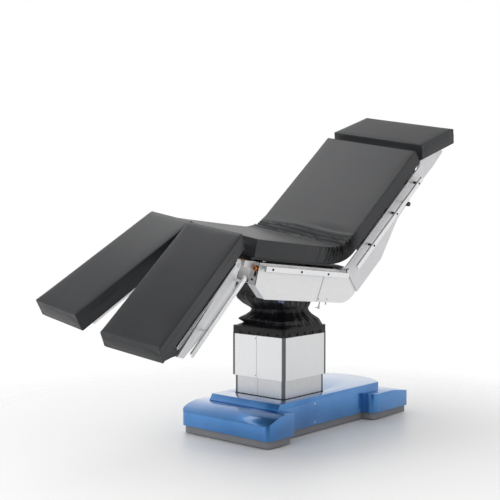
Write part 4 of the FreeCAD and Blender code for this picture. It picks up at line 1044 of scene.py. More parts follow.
@dataclass
class Mattress(Cushion):
    """Seat and back upholstery in one cover that bunches in the fold at the hip.

    Grooves are given by their place past the hip's corner, their depth and their width.
    """

    hip: Pair = (128.0, -20.0)
    back_rise: float = 26.4
    back_end: float = 706.0
    thick: float = 78.0
    under: float = 0.6
    seat_share: float = 0.37
    hip_share: float = 0.43
    top_reach: Pair = (88.0, 104.0)
    low_reach: Pair = (150.0, 95.0)
    grooves: tuple[tuple[float, float, float], ...] = (
        (-52.0, 24.0, 6.0), (-24.0, 38.0, 7.0), (12.0, 60.0, 14.0), (48.0, 46.0, 8.0),
        (76.0, 20.0, 7.0))
    full_fold: float = 26.0
    groove_fan: Pair = (0.78, 0.22)
    groove_bow: tuple[Wave, Wave] = (Wave(5.0, 1.9, 0.5), Wave(2.0, 6.1, 1.0))
    groove_sway: Wave = Wave(2.2, 4.3)
    groove_depth: Wave = Wave(0.18, 3.1)
    crest: tuple[float, float, float] = (9.0, 5.0, 70.0)
    ripple: Wave = Wave(5.5, 2.9, 0.6)
    ripple_place: tuple[float, float, float] = (105.0, 14.0, 34.0)
    ripple_across: Pair = (-0.55, 0.42)
    pleats: int = 17
    pleat_depth: float = 20.0
    pleat_span: Pair = (-250.0, 125.0)
    pleat_lift: float = 2.5
    bend_span: Pair = (-40.0, 70.0)
    bend_out: float = 40.0

    def side_view(self, a: float, n: float) -> np.ndarray:
        """Seat-frame side view of a place on the back.

        Args:
            a: Distance along the back.
            n: Distance out of it.

        Returns:
            Place along the seat and upwards.
        """
        angle = math.radians(FRAMES.back_angle)
        return np.array([self.hip[0] + a * math.cos(angle) - n * math.sin(angle),
                         self.hip[1] + a * math.sin(angle) + n * math.cos(angle)])

    def turn(self, out: float, level: float) -> float:
        """Distance along the back at which its line, out by so much, meets the seat's level."""
        angle = math.radians(FRAMES.back_angle)
        return (level - self.hip[1] - out * math.cos(angle)) / math.sin(angle)

    def line(self, out: float, level: float, reach: Sequence[float], p: np.ndarray
             ) -> tuple[np.ndarray, np.ndarray]:
        """One long edge in side view, from the seat's front to the back's top, rounded at the hip.

        Args:
            out: Distance of the edge out of the back's line.
            level: Its height above the seat's line.
            reach: How far the rounding reaches along the seat and along the back.
            p: Places along it, from nought to one.

        Returns:
            Side-view places in the seat frame, and their distance past the corner.
        """
        along = self.turn(out, level)
        corner = self.side_view(along, out)
        start = np.array([self.x[0], level])
        bend = np.array([corner[0] - reach[0], level])
        rise = self.side_view(along + reach[1], out)
        end = self.side_view(self.back_end, out)
        seat = np.clip(p / self.seat_share, 0, 1)[:, None]
        hip = np.clip((p - self.seat_share) / self.hip_share, 0, 1)[:, None]
        left = 1 - self.seat_share - self.hip_share
        back = np.clip((p - self.seat_share - self.hip_share) / left, 0, 1)[:, None]
        curve = bend * (1 - hip) ** 2 + 2 * corner * hip * (1 - hip) + rise * hip ** 2
        places = curve + (start - bend) * (1 - seat) + (end - rise) * back
        past = -reach[0] + (reach[0] + reach[1]) * hip[:, 0]
        past -= np.linalg.norm(start - bend) * (1 - seat[:, 0])
        past += np.linalg.norm(end - rise) * back[:, 0]
        return places, past

    def shape(self) -> np.ndarray:
        """Maps the grid onto the bent mattress.

        Returns:
            Vertex places.
        """
        along = self.steps[:, 0] / (self.cuts[0] + 1)
        across = self.station(1, *self.y)
        level = self.station(2, 0, self.thick) / self.thick
        top, past_top = self.line(self.back_rise + self.thick, self.z[0] + self.thick,
                                  self.top_reach, along)
        low = self.line(self.back_rise + self.under, self.z[0] + self.under,
                        self.low_reach, along)[0]
        side = low + (top - low) * level[:, None]
        self.round_edges(side, top, low, across, level)
        self.drape = (top - low, past_top, level)
        return np.stack([side[:, 0], across, side[:, 1]], axis=1)

    def bunch(self) -> None:
        """Gathers the swollen cover into its folds and pleats, and marks how deep each point sank for the shade
        painted into the folds.
        """
        flat = self.read()
        places = flat.copy()
        self.fold_top(places, *self.drape)
        self.pleat_sides(places, *self.drape)
        self.write(places)
        # How deep each point sank, which the pad's material turns into painted shade and extra roughness in the
        # folds
        drop = np.clip(np.linalg.norm(places - flat, axis=1) / self.full_fold, 0, 1)
        mark = self.piece.obj.data.attributes.new("crease", "FLOAT", "POINT")
        mark.data.foreach_set("value", drop.astype(np.float32))

    def round_edges(self, side: np.ndarray, top: np.ndarray, low: np.ndarray,
                    across: np.ndarray, level: np.ndarray) -> None:
        """Rounds the four long edges in place.

        Args:
            side: Side-view places, which are changed.
            top: Side-view places of the upper face over each vertex.
            low: Side-view places of the lower face under each vertex.
            across: Places across, which are changed.
            level: Share of the thickness, from the lower face.
        """
        half_y, half_z = (self.y[1] - self.y[0]) / 2, self.thick / 2
        mid_y = (self.y[1] + self.y[0]) / 2
        dy = np.abs(across - mid_y) - (half_y - self.radius)
        dz = np.abs(level - 0.5) * self.thick - (half_z - self.radius)
        corner = (dy > 0) & (dz > 0)
        length = np.maximum(np.hypot(dy, dz), 1e-9)
        new_y = half_y - self.radius + dy / length * self.radius
        new_z = half_z - self.radius + dz / length * self.radius
        across[corner] = mid_y + np.sign(across[corner] - mid_y) * new_y[corner]
        fraction = 0.5 + np.sign(level - 0.5) * new_z / self.thick
        side[corner] = low[corner] + (top[corner] - low[corner]) * fraction[corner, None]

    @staticmethod
    def raise_by(places: np.ndarray, up: np.ndarray, height: np.ndarray) -> None:
        """Moves each vertex out of the mattress's line, in place.

        Args:
            places: Vertex places, which are changed.
            up: Side-view direction out of the mattress at each vertex.
            height: How far each one moves.
        """
        out = up / np.linalg.norm(up, axis=1, keepdims=True)
        places[:, 0] += height * out[:, 0]
        places[:, 2] += height * out[:, 1]

    def fold_top(self, places: np.ndarray, up: np.ndarray, past: np.ndarray,
                 level: np.ndarray) -> None:
        """Grooves across the crease that fan out towards the near side, and soft ripples above.

        Args:
            places: Vertex places, which are changed.
            up: Side-view direction out of the mattress at each vertex.
            past: Distance past the hip's corner.
            level: Share of the thickness, from the lower face.
        """
        across = self.grid[:, 1]
        on_top = np.clip((level - 0.25) / 0.75, 0, 1) ** 2.5
        fan = self.groove_fan[0] - self.groove_fan[1] * across
        bow = self.groove_bow[0].at(across) + self.groove_bow[1].at(across)
        sink = np.zeros(len(past))
        for number, (centre, depth, width) in enumerate(self.grooves):
            sway = self.groove_sway.at(across, 1.7 * number)
            q = np.abs((past - bow - sway) / fan - centre) / width
            sink -= depth * np.exp(-q ** 2) * (0.82 + self.groove_depth.at(across, 2.3 * number))
        height, place, width = self.crest
        sink += height * np.exp(-((past - bow - place) / width) ** 2)
        sink *= 0.12 + 0.88 * np.clip((1 - across) / 1.3, 0, 1) ** 0.8
        place, slant, width = self.ripple_place
        ripple_at = (past - place + slant * across) / width
        ripple = np.exp(-ripple_at ** 2) * self.ripple.at(ripple_at)
        middle, width = self.ripple_across
        ripple *= np.exp(-((across - middle) / width) ** 2)
        self.raise_by(places, up, (sink + ripple) * on_top)

    def pleat_sides(self, places: np.ndarray, up: np.ndarray, past: np.ndarray,
                    level: np.ndarray) -> None:
        """Upright pleats down both sides, deeper and closer towards the hip.

        Args:
            places: Vertex places, which are changed.
            up: Side-view direction out of the mattress at each vertex.
            past: Distance past the hip's corner.
            level: Share of the thickness, from the lower face.
        """
        across = self.grid[:, 1]
        low, high = self.pleat_span
        r = np.clip((past - low) / (high - low), 0, 1)
        fade = np.clip(r / 0.6, 0, 1) ** 1.2 * np.clip((1 - r) / 0.18, 0, 1) ** 0.7
        phase = 2 * math.pi * self.pleats * r ** 1.3 + 0.5 * np.sin(5 * level + 9 * r)
        pleat = (0.5 - 0.5 * np.cos(phase)) ** 0.65
        on_side = np.clip((np.abs(across) - 0.955) / 0.045, 0, 1)
        sunk = self.pleat_depth * fade * pleat * on_side * (0.45 + 0.55 * level)
        places[:, 1] -= np.sign(across) * sunk
        self.raise_by(places, up, self.pleat_lift * fade * pleat * on_side
                      * np.clip(1 - level * 3, 0, 1))

    def keep_inside(self) -> None:
        """Holds the cover to its width."""
        places = self.read()
        low, high = self.y
        places[:, 1] = np.clip(places[:, 1], low - self.swell, high + self.swell)
        self.write(places)

    def make(self, axes: Axes, body: str, node: str) -> Piece:
        """Shapes, swells and sews the mattress, and places it without hanging it on a body.

        Args:
            axes: Seat section's frame.
            body: Body of the seat section; not used.
            node: CAD pad of the seat.

        Returns:
            The finished mattress.
        """
        self.write(self.shape())
        self.inflate()
        self.keep_inside()
        self.bunch()
        self.piece.join(self.welts())
        self.piece.place(axes).dress(PAD, None, "pad_cover", 60)
        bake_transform(self.piece.obj)
        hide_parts(node, "hip_pad", "back_pad")
        return self.piece


@dataclass
class Bellows:
    """Folded rubber sleeve in two spans, between collar, wire frame and seat section.

    A ring is its height, its half width on the foot side and its half width on the head side.
    """

    around: int = 160
    rows: int = 46
    squareness: float = 8.0
    wall: float = 2.5
    lower_rings: Rings = (
        (480.0, 156, 157), (488, 146, 155), (497, 128, 150), (505, 139, 146), (513, 150, 140),
        (520, 146, 131), (533, 124, 116), (546, 108, 107), (558, 102, 104), (566, 102, 104))
    upper_rings: Rings = (
        (562.0, 102, 103), (568, 107, 105), (580, 130, 110), (594, 149, 114), (606, 153, 120),
        (620, 147, 128), (634, 140, 134), (644, 138, 138), (650, 140, 140))
    seat_under: float = -44.0
    seat_squash: float = 0.75

    def outline(self, share: np.ndarray) -> tuple[np.ndarray, np.ndarray]:
        """Unit square with rounded corners, traced once round.

        Args:
            share: Places round it, from nought to one.

        Returns:
            X and Y, one at the middle of each side.
        """
        angle = share * 2 * math.pi
        c, s = np.cos(angle), np.sin(angle)
        size = (np.abs(c) ** self.squareness + np.abs(s) ** self.squareness) ** (
            -1 / self.squareness)
        return c * size, s * size

    def span(self, name: str, rings: Rings, top: Callable[[float, float, float], tuple],
             ribs: float, seed: float) -> Piece:
        """One span of the sleeve.

        Args:
            name: Name of the piece.
            rings: Its rings, from the bottom up.
            top: Gives the row-frame place from a ring's x and y and its height.
            ribs: Depth of the small pleats, in millimetres.
            seed: Shifts the pleats.

        Returns:
            The span, a closed wall.
        """
        Piece.clear()
        bpy.ops.mesh.primitive_grid_add(x_subdivisions=self.around, y_subdivisions=self.rows,
                                        size=2)
        piece = Piece(name)
        flat = np.empty(len(piece.obj.data.vertices) * 3)
        piece.obj.data.vertices.foreach_get("co", flat)
        flat = flat.reshape(-1, 3)
        share, rise = (flat[:, 0] + 1) / 2, (flat[:, 1] + 1) / 2
        x, y = self.outline(share)
        marks = np.linspace(0, 1, len(rings))
        heights = np.interp(rise, marks, [ring[0] for ring in rings])
        foot = np.interp(rise, marks, [ring[1] for ring in rings])
        head = np.interp(rise, marks, [ring[2] for ring in rings])
        toward = np.clip(0.5 + 0.5 * (0.66 * x - 0.75 * y), 0, 1)
        half = foot + (head - foot) * toward
        turn = share * 2 * math.pi
        bell = np.sin(math.pi * rise) ** 0.7
        pleats = np.sin(turn * 38 + 3 * rise + seed) * 0.6 + np.sin(turn * 17 - 5 * rise) * 0.8
        half += ribs * bell * pleats
        heights += 2.2 * ribs * bell * np.sin(turn * 5 + seed) * 0.5
        places = np.array([top(px, py, pz) for px, py, pz in zip(x * half, y * half, heights)])
        piece.obj.data.vertices.foreach_set("co", places.ravel())
        piece.edit()
        bpy.ops.mesh.select_all(action="SELECT")
        bpy.ops.mesh.remove_doubles(threshold=0.05 * MM)
        bpy.ops.mesh.normals_make_consistent(inside=False)
        piece.done()
        wall = piece.obj.modifiers.new("wall", "SOLIDIFY")
        wall.thickness = self.wall * MM
        wall.offset = -1.0
        return piece.apply(wall)

    @staticmethod
    def upright(x: float, y: float, z: float) -> tuple:
        """Row-frame place of a point of the lower span."""
        return (x * MM, y * MM, z * MM)

    def seated(self, x: float, y: float, z: float) -> tuple:
        """Row-frame place of a point of the upper span.

        Args:
            x: Place along, in millimetres.
            y: Place across.
            z: Height, upright at the span's foot and in the tilted seat section at its head.

        Returns:
            The place, in metres.
        """
        low, high = self.upper_rings[0][0], self.upper_rings[-1][0]
        share = min(max((z - low) / (high - low), 0), 1)
        below = Vector(self.upright(x, y, z))
        above = FRAMES.tilt_centre.point(x, y, self.seat_under - (high - z) * self.seat_squash)
        return tuple(below.lerp(above, share * share * (3 - 2 * share)))

    def build(self) -> None:
        """Builds both spans, the upper one bent from upright into the tilted seat section, and hangs neither on a
        body.
        """
        lower = self.span("bellows_lower_sleeve", self.lower_rings, self.upright, 1.8, 0.4)
        lower.dress(RUBBER, None, "bellows_rubber", 60)
        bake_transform(lower.obj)
        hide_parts("bellows_lower")
        upper = self.span("bellows_upper_sleeve", self.upper_rings, self.seated, 2.2, 1.9)
        upper.dress(RUBBER, None, "bellows_rubber", 60)
        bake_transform(upper.obj)
        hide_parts("bellows_upper")


@dataclass
class BaseCover:
    """Lacquered cover of the base, with its pressed edges rounded."""

    rounding: float = 6.0

    def build(self) -> None:
        """Puts a rounded skin in the cover's place."""
        piece = Piece.rounded_copy("base_cover", "base_cover_skin", self.rounding, 3)
        piece.dress(LACQUER, "base", "base_paint", 40)
        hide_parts("base_cover")


@dataclass
class Collar:
    """Rubber collar over the column's top, with its moulded edges rounded."""

    half: float = 159.5
    rounding: float = 2.5
    lug_places: tuple[float, ...] = (-112.0, -56.0, 0.0, 56.0, 112.0)
    lug_half: float = 9.0
    lug_depth: Pair = (-1.0, 3.2)
    lug_height: Pair = (447.0, 460.0)

    def build(self) -> None:
        """Puts a rounded moulding in the collar's place, and its lugs."""
        piece = Piece.rounded_copy("bellows_collar", "bellows_collar_moulding", self.rounding, 2)
        self.lugs()
        piece.dress(RUBBER, "column_upper", "bellows_rubber", 40)
        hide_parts("bellows_collar")

    def lugs(self) -> None:
        """Moulded lugs round the collar's lower edge that hook over the cover."""
        pieces = []
        depth = [self.half + reach for reach in self.lug_depth]
        for quarter in range(4):
            angle = quarter * math.pi / 2
            along = Vector((math.cos(angle), math.sin(angle), 0))
            facing = Axes(Vector(), along, Vector((-along.y, along.x, 0)), Vector((0, 0, 1)))
            for middle in self.lug_places:
                width = (middle - self.lug_half, middle + self.lug_half)
                lug = Piece.block("collar_lug", depth, width, self.lug_height)
                pieces.append(lug.soften(2.5).place(facing))
        joined = pieces[0].join(pieces[1:])
        joined.obj.name = "bellows_collar_lugs"
        joined.dress(RUBBER, "column_upper", "bellows_rubber", 40)


@dataclass
class Trim:
    """Small visible parts of the seat, back and leg sections, the same on both sides.

    Places are in the frame of the section that carries the part. A band is the inner and the outer
    limit across the table, and an outline is seen from the side.
    """

    cheek_out: float = 263.0
    cap: tuple[float, float, float] = (14.0, 11.5, 26.0)
    washer: tuple[float, float, float] = (20.0, 14.5, 1.5)
    skirt_band: Pair = (247, 253)
    skirt: Outline = ((130, -4), (676, 0), (676, 26), (170, 26), (130, 29))
    strip_x: Pair = (-22.0, -500.0)
    strip_z: Pair = (30.0, 14.0)
    strip_band: Pair = (58.5, 66)
    strip_base: Pair = (6, 22)
    rib_band: Pair = (60, 71)
    rib_pitch: float = 7.0
    rib_width: float = 3.4
    web_band: Pair = (58.5, 64.5)
    web: Outline = ((-474, -64), (-340, -82), (-50, -82), (-22, -44), (-60, -60))
    # Dark strip under the web: painted shadow of the gap below the beam
    web_seal_band: Pair = (57, 62)
    web_seal: Outline = ((-336, -85.5), (-52, -85.5), (-50, -80), (-340, -80))
    plate_x: Pair = (-597.5, 61.5)
    plate_band: Pair = (-184, 64.5)
    plate_z: Pair = (34.1, 38.6)
    wedge_band: Pair = (-52.9, 58.4)
    wedge: Outline = ((-42, 34.5), (-42, 15.9), (-505, -22), (-533, -2), (-563, 15), (-595, 34.5))
    panel_out: float = 257.0
    joint_band: Pair = (256.5, 257.3)
    joint: Outline = ((-6, -58), (-8.4, -58), (-27.4, -171), (-25, -171))
    joint_screws: Outline = ((-16, -160), (47, -159))
    beam_front: float = -460.0
    nose_top: float = -118.0
    nose_foot: Pair = (-386.0, -173.5)
    nose_band: Pair = (214, 256)
    nose_wall: float = 2.2
    button_place: Pair = (244, -46)
    # Dark patch on the beam's front end: painted shade of a finger recess
    recess_band: Pair = (238, 250)
    recess_z: Pair = (-80, -61)
    seal_band: Pair = (253.8, 256.4)
    seal_z: Pair = (-112, -16)

    def build(self) -> None:
        """Adds the trim on both sides."""
        for side in Side:
            skirt = Piece.prism("back_skirt_" + side.label, self.skirt, side.band(self.skirt_band))
            skirt.soften(1.0).place(FRAMES.back).dress(BOARD, "back", "board_laminate")
            self.hip_cap(side)
            self.ribbed_strip(side)
            self.leg_web(side)
            self.leg_board(side)
            self.panel_joint(side)
            self.nose(side)
            self.button(side)

    def hip_cap(self, side: Side) -> None:
        """Turned cap on the hip shaft's end, with a dark washer behind.

        Args:
            side: Side of the table.
        """
        washer = self.hip_disc("hip_washer_" + side.label, side, self.washer)
        washer.place(FRAMES.back).dress(DARK_STEEL, "back", "bright_steel")
        cap = self.hip_disc("hip_cap_" + side.label, side, self.cap)
        cap.soften(2.0, 3).place(FRAMES.back).dress(CHEEK_PAINT, "back", "bright_steel")

    def hip_disc(self, name: str, side: Side, sizes: tuple[float, float, float]) -> Piece:
        """Round part on the hip's axis.

        Args:
            name: Name of the piece.
            side: Side of the table.
            sizes: Its middle's distance out of the cheek, its radius and its length.

        Returns:
            The part, not placed yet.
        """
        out, radius, length = sizes
        centre = (0, side.value * (self.cheek_out + out), 0)
        return Piece.rod(name, centre, (0, 1, 0), radius, length)

    def ribbed_strip(self, side: Side) -> None:
        """Toothed aluminium strip along the outer edge of a leg's board.

        Args:
            side: Side of the table.
        """
        (x_start, x_end), (z_start, z_end) = self.strip_x, self.strip_z
        count = int((x_start - x_end) / self.rib_pitch)
        ribs = []
        for index in range(count):
            x = x_start - index * self.rib_pitch
            z = z_start + (z_end - z_start) * index / count
            ribs.append(Piece.block("rib", (x - self.rib_width, x), side.band(self.rib_band),
                                    (z - self.rib_pitch, z)))
        base = Piece.block("leg_ribbed_strip_" + side.label, (x_end, x_start),
                           side.band(self.strip_band), self.strip_base)
        base.join(ribs).place(FRAMES.leg[side])
        base.dress(EXTRUSION, "leg_" + side.label, "panel_steel")

    def leg_web(self, side: Side) -> None:
        """Lower web of a leg's outer beam behind its rail, with a dark rubber strip under it as painted shadow of
        the gap below the beam.

        Args:
            side: Side of the table.
        """
        web = Piece.prism("leg_web_" + side.label, self.web, side.band(self.web_band))
        web.soften(0.8).place(FRAMES.leg[side])
        web.dress(EXTRUSION, "leg_" + side.label, "panel_steel")
        # Painted shadow: a dark strip under the web where the gap below the beam is shaded
        shadow_strip = Piece.prism("leg_web_seal_" + side.label, self.web_seal,
                           side.band(self.web_seal_band))
        shadow_strip.place(FRAMES.leg[side]).dress(RUBBER, "leg_" + side.label, "panel_steel")

    def leg_board(self, side: Side) -> None:
        """Moulded board under a leg's pad: a thin plate, with a wedge between the beams.

        Args:
            side: Side of the table.
        """
        plate = Piece.block("leg_plate_" + side.label, self.plate_x, side.band(self.plate_band),
                            self.plate_z)
        plate.join([Piece.prism("wedge", self.wedge, side.band(self.wedge_band))])
        plate.place(FRAMES.leg[side]).dress(BOARD, "leg_" + side.label, "board_laminate")
        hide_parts("leg_board_" + side.label)

    def panel_joint(self, side: Side) -> None:
        """Joint between the two side panels, with a small screw on each side of it.

        Args:
            side: Side of the table.
        """
        line = Piece.prism("panel_joint_" + side.label, self.joint, side.band(self.joint_band))
        screws = [Piece.rod("screw", (x, side.value * self.panel_out, z), (0, 1, 0), 2.6, 1.2, 16)
                  for x, z in self.joint_screws]
        line.join(screws).place(FRAMES.seat).dress(DARK_STEEL, "seat", "panel_steel")

    def nose(self, side: Side) -> None:
        """Sloped cover under a beam's front end.

        Args:
            side: Side of the table.
        """
        run, rise = self.nose_foot[0] - self.beam_front, self.nose_foot[1] - self.nose_top
        slope = FRAMES.seat.moved(self.beam_front, 0, self.nose_top)
        slope = slope.lifted(math.degrees(math.atan2(rise, run)))
        plate = Piece.block("nose_cover_" + side.label, (1, math.hypot(run, rise) - 1),
                            side.band(self.nose_band), (0, self.nose_wall))
        plate.place(slope).dress(PANEL_STEEL, "seat", "panel_steel")

    def button(self, side: Side) -> None:
        """Ring round the release button, a dark patch as painted shade of the finger recess, edge seal, and a dark
        disc as painted shade in the button's own hole.

        Args:
            side: Side of the table.
        """
        x, (across, up) = self.beam_front - 0.6, self.button_place
        ring = Piece.rod("button_ring_" + side.label, (x, side.value * across, up), (1, 0, 0),
                         13.0, 1.4)
        ring.place(FRAMES.seat).dress(DARK_STEEL, "seat", "panel_steel")
        # Painted shade: a flat dark patch where the finger recess would be shaded
        recess_shade = Piece.block("finger_recess_" + side.label, (x - 0.6, x + 0.6),
                             side.band(self.recess_band), self.recess_z)
        recess_shade.place(FRAMES.seat).dress(BOARD, "seat", "panel_steel")
        edge = Piece.block("front_edge_seal_" + side.label, (x - 0.4, x + 1.2),
                           side.band(self.seal_band), self.seal_z)
        edge.place(FRAMES.seat).dress(RUBBER, "seat", "panel_steel")
        low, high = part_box("release_button_" + side.label)
        centre = [low[0] / MM, (low[1] + high[1]) / 2 / MM, (low[2] + high[2]) / 2 / MM]
        # Painted shade: a dark disc on the button where its hole would be shaded
        hole_shade = Piece.rod("button_hole_" + side.label, centre, FRAMES.seat.x, 4.2, 2.4, 20)
        hole_shade.place(TABLE).dress(BOARD, "button_" + side.label, "release_orange")


@dataclass
class ColumnTrim:
    """Dark profiles on the column covers' corners, painted as the dark reflection of their rounded edges, and the
    joints down their two end faces.
    """

    radius: float = 5.0
    width: float = 13.0
    wall: float = 0.9
    proud: float = 0.35
    end_gap: float = 0.4
    joint_across: Pair = (7.4, 8.6)
    joint_proud: float = 0.1
    screw_across: float = 14.0
    screw_from_ends: Pair = (10.0, 18.0)
    covers: tuple[tuple[str, str], ...] = (("column_cover_upper", "column_upper"),
                                           ("column_cover_middle", "cover_middle"),
                                           ("column_cover_lower", "base"))

    def build(self) -> None:
        """Adds corners and joints to each cover."""
        for cover, body in self.covers:
            low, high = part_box(cover)
            half = high[0] / MM
            span = (low[2] / MM + self.end_gap, high[2] / MM - self.end_gap)
            self.corners(cover, body, half + self.proud, span)
            self.joints(cover, body, half, span)

    def corners(self, cover: str, body: str, half: float, span: Pair) -> None:
        """Rounded profile round each upright edge, dark as a painted reflection.

        Args:
            cover: CAD node of the cover.
            body: Body that the cover rides on.
            half: Distance of the profile's faces from the column's axis.
            span: Its foot and its head.
        """
        centre, back, inner = half - self.radius, half - self.width, half - self.wall
        bow = [math.radians(15 * step) for step in range(7)]
        outline = [(centre + self.radius * math.cos(a), centre + self.radius * math.sin(a))
                   for a in bow]
        outline += [(back, half), (back, inner), (inner, inner), (inner, back), (half, back)]
        pieces = [Piece.prism(cover + "_corners", [(x * p, y * q) for p, q in outline], span, True)
                  for x in (-1, 1) for y in (-1, 1)]
        pieces[0].join(pieces[1:]).place(TABLE).dress(CORNER_REFLECTION, body, "cover_steel", 40)

    def joints(self, cover: str, body: str, half: float, span: Pair) -> None:
        """Upright joint at the foot end and the head end, with two screws on the upper cover.

        Args:
            cover: CAD node of the cover.
            body: Body that the cover rides on.
            half: Distance of the cover's faces from the column's axis.
            span: Its foot and its head.
        """
        pieces = []
        for x in (-1, 1):
            depth = (x * (half - 1), x * (half + self.joint_proud))
            pieces.append(Piece.block(cover + "_joints", depth, self.joint_across, span))
            if body == "column_upper":
                for z in (span[0] + self.screw_from_ends[0], span[1] - self.screw_from_ends[1]):
                    pieces.append(Piece.rod("screw", (x * half, self.screw_across, z), (1, 0, 0),
                                            2.4, 1.2, 16))
        pieces[0].join(pieces[1:]).place(TABLE).dress(DARK_STEEL, body, "cover_steel")


class Dressing:
    """Finishes for the CAD nodes that stay as they are."""

    def build(self) -> None:
        """Gives every shown CAD node the finish of its slot, or its own."""
        slots = {row["node"]: row["material_slot"] for row in frame["record"]["subparts"]}
        for name, obj in frame["nodes"].items():
            finish = NODE_FINISH.get(name, SLOT_FINISH[slots[name]])
            obj.data.materials.clear()
            obj.data.materials.append(finish.material())


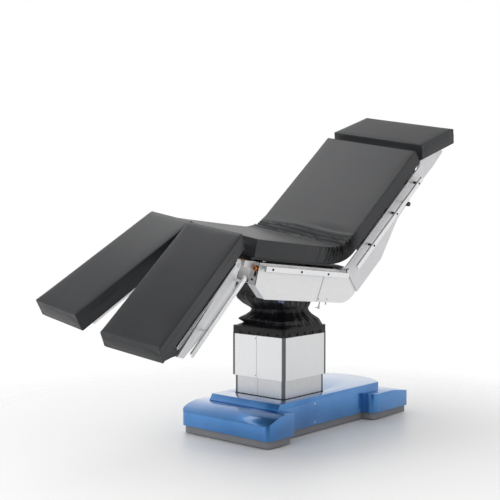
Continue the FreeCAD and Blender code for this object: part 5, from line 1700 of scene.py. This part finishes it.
@dataclass
class Studio:
    """Pale floor, plain soft light and the camera at the photograph's place.

    A wall is its direction, the two cosines between which its share changes, and its brightness
    at the one and at the other. A lamp is its name, place, target, width and power.
    """

    eye: tuple[float, float, float] = (-3486.8, -2896.3, 1017.1)
    yaw: float = 41.46
    pitch: float = -2.34
    lens: float = 69.9
    floor_reach: float = 4.2
    floor_fade: Pair = (0.55, 1.9)
    walls: tuple[tuple, ...] = (
        ((-0.66, 0.75, 0.0), -0.9, 0.5, 0.86, 1.06),
        ((-0.77, -0.64, 0.03), 0.80, 0.98, 1.0, 0.12),
        ((0.0, 0.0, 1.0), 0.35, 0.9, 1.0, 0.4))
    fill_light: float = 0.6
    lamps: tuple[tuple, ...] = (
        ("key", (-3.4, 0.2, 2.2), (0, 0, 0.6), 2.2, 40),
        ("top", (0.2, 0.8, 2.5), (0.3, 0, 1.0), 1.5, 14))

    def build_camera(self) -> None:
        """Camera at the place solved from the photograph."""
        data = bpy.data.cameras.new("camera")
        data.lens = self.lens
        camera = bpy.data.objects.new("camera", data)
        bpy.context.scene.collection.objects.link(camera)
        camera.location = [c * MM for c in self.eye]
        camera.rotation_euler = (math.radians(90 + self.pitch), 0, math.radians(self.yaw - 90))
        bpy.context.scene.camera = camera

    def build_floor(self) -> None:
        """Round floor whose colour fades into the white behind it."""
        Piece.clear()
        bpy.ops.mesh.primitive_circle_add(vertices=96, radius=self.floor_reach, fill_type="NGON")
        floor = bpy.context.object
        floor.name = "studio_floor"
        floor.location.z = -0.0005
        material = bpy.data.materials.new("studio_floor_paint")
        material.use_nodes = True
        tree = material.node_tree
        shader = tree.nodes["Principled BSDF"]
        set_node(tree, shader, {"Base Color": linear("fbfbfb"), "Roughness": 0.35,
                                "Specular IOR Level": 0.35})
        place = add_node(tree, "ShaderNodeTexCoord")
        distance = add_node(tree, "ShaderNodeVectorMath", {"operation": "LENGTH"},
                            {0: place.outputs["Object"]})
        fade = add_node(tree, "ShaderNodeMapRange",
                        {"From Min": self.floor_fade[0], "From Max": self.floor_fade[1]},
                        {"Value": distance.outputs["Value"]})
        clear = add_node(tree, "ShaderNodeBsdfTransparent")
        mixed = add_node(tree, "ShaderNodeMixShader", None,
                         {0: fade.outputs["Result"], 1: shader.outputs["BSDF"],
                          2: clear.outputs["BSDF"]})
        set_node(tree, tree.nodes["Material Output"], None, {"Surface": mixed.outputs["Shader"]})
        floor.data.materials.append(material)

    def studio_walls(self, tree: bpy.types.NodeTree) -> bpy.types.NodeSocket:
        """Brightness of the studio as the metal mirrors it.

        The wall past the foot end is white, the one on the near side grey, the side that the
        photograph is taken from dark, and the ceiling dim.

        Args:
            tree: World's node tree.

        Returns:
            Strength by direction.
        """
        look = add_node(tree, "ShaderNodeTexCoord").outputs["Generated"]
        strength = None
        for direction, low, high, at_low, at_high in self.walls:
            facing = add_node(tree, "ShaderNodeVectorMath",
                              {"operation": "DOT_PRODUCT", 1: direction}, {0: look})
            share = add_node(tree, "ShaderNodeMapRange",
                             {"interpolation_type": "SMOOTHSTEP", "From Min": low,
                              "From Max": high, "To Min": at_low, "To Max": at_high},
                             {"Value": facing.outputs["Value"]})
            if strength is None:
                strength = share.outputs["Result"]
            else:
                strength = add_node(tree, "ShaderNodeMath", {"operation": "MULTIPLY"},
                                    {0: strength, 1: share.outputs["Result"]}).outputs["Value"]
        return strength

    def build_lights(self) -> None:
        """Even studio light with a large soft lamp over the foot end and white behind."""
        world = bpy.data.worlds.new("studio")
        bpy.context.scene.world = world
        world.use_nodes = True
        tree = world.node_tree
        soft = tree.nodes["Background"]
        soft.inputs["Strength"].default_value = self.fill_light
        white = add_node(tree, "ShaderNodeBackground", {"Strength": 1.0})
        mirrored = add_node(tree, "ShaderNodeBackground", None,
                            {"Strength": self.studio_walls(tree)})
        for background in (soft, white, mirrored):
            background.inputs["Color"].default_value = (1, 1, 1, 1)
        seen = add_node(tree, "ShaderNodeLightPath")
        shine = add_node(tree, "ShaderNodeMixShader", None,
                         {0: seen.outputs["Is Glossy Ray"], 1: soft.outputs["Background"],
                          2: mirrored.outputs["Background"]})
        mixed = add_node(tree, "ShaderNodeMixShader", None,
                         {0: seen.outputs["Is Camera Ray"], 1: shine.outputs["Shader"],
                          2: white.outputs["Background"]})
        set_node(tree, tree.nodes["World Output"], None, {"Surface": mixed.outputs["Shader"]})
        for lamp in self.lamps:
            self.lamp(*lamp)

    @staticmethod
    def lamp(name: str, place: Sequence[float], target: Sequence[float], size: float,
             power: float) -> None:
        """Square soft lamp aimed at a point.

        Args:
            name: Name of the lamp.
            place: Where it stands, in metres.
            target: Point that it shines at.
            size: Its width, in metres.
            power: Its power, in watts.
        """
        data = bpy.data.lights.new(name, "AREA")
        data.size = size
        data.energy = power
        lamp = bpy.data.objects.new(name, data)
        bpy.context.scene.collection.objects.link(lamp)
        lamp.location = place
        lamp.rotation_euler = (Vector(target) - Vector(place)).to_track_quat("-Z", "Y").to_euler()

    def build(self) -> None:
        """Builds camera, floor and lights."""
        bpy.context.scene.view_settings.view_transform = "Standard"
        self.build_camera()
        self.build_floor()
        self.build_lights()


def build_pads() -> None:
    """All the upholstery."""
    mattress = Mattress("mattress", (-519.4, 115.0), (-272, 272), (0.4, 78.0),
                        cuts=(230, 54, 22), swell=1.5)
    mattress.make(FRAMES.seat, "seat", "seat_pad")
    head = Cushion("head_cushion", (0, 285.0), (-272, 272), (20.4, 98.0))
    head.make(FRAMES.head, "head", "head_pad")
    for side in Side:
        across = sorted(side.band((72.5, -187.5)))
        leg = Cushion("leg_cushion_" + side.label, (-603.5, 68.5), tuple(across), (39.0, 117.0),
                      corner_cut=8.0, corner_side=side.value)
        leg.make(FRAMES.leg[side], "leg_" + side.label, "leg_pad_" + side.label)


def main() -> None:
    """Builds the table's looks from the base up, then the studio."""
    logging.basicConfig(level=logging.INFO)
    Dressing().build()
    BaseCover().build()
    ColumnTrim().build()
    Collar().build()
    Trim().build()
    Bellows().build()
    build_pads()
    Studio().build()


if __name__ == "__main__":
    main()
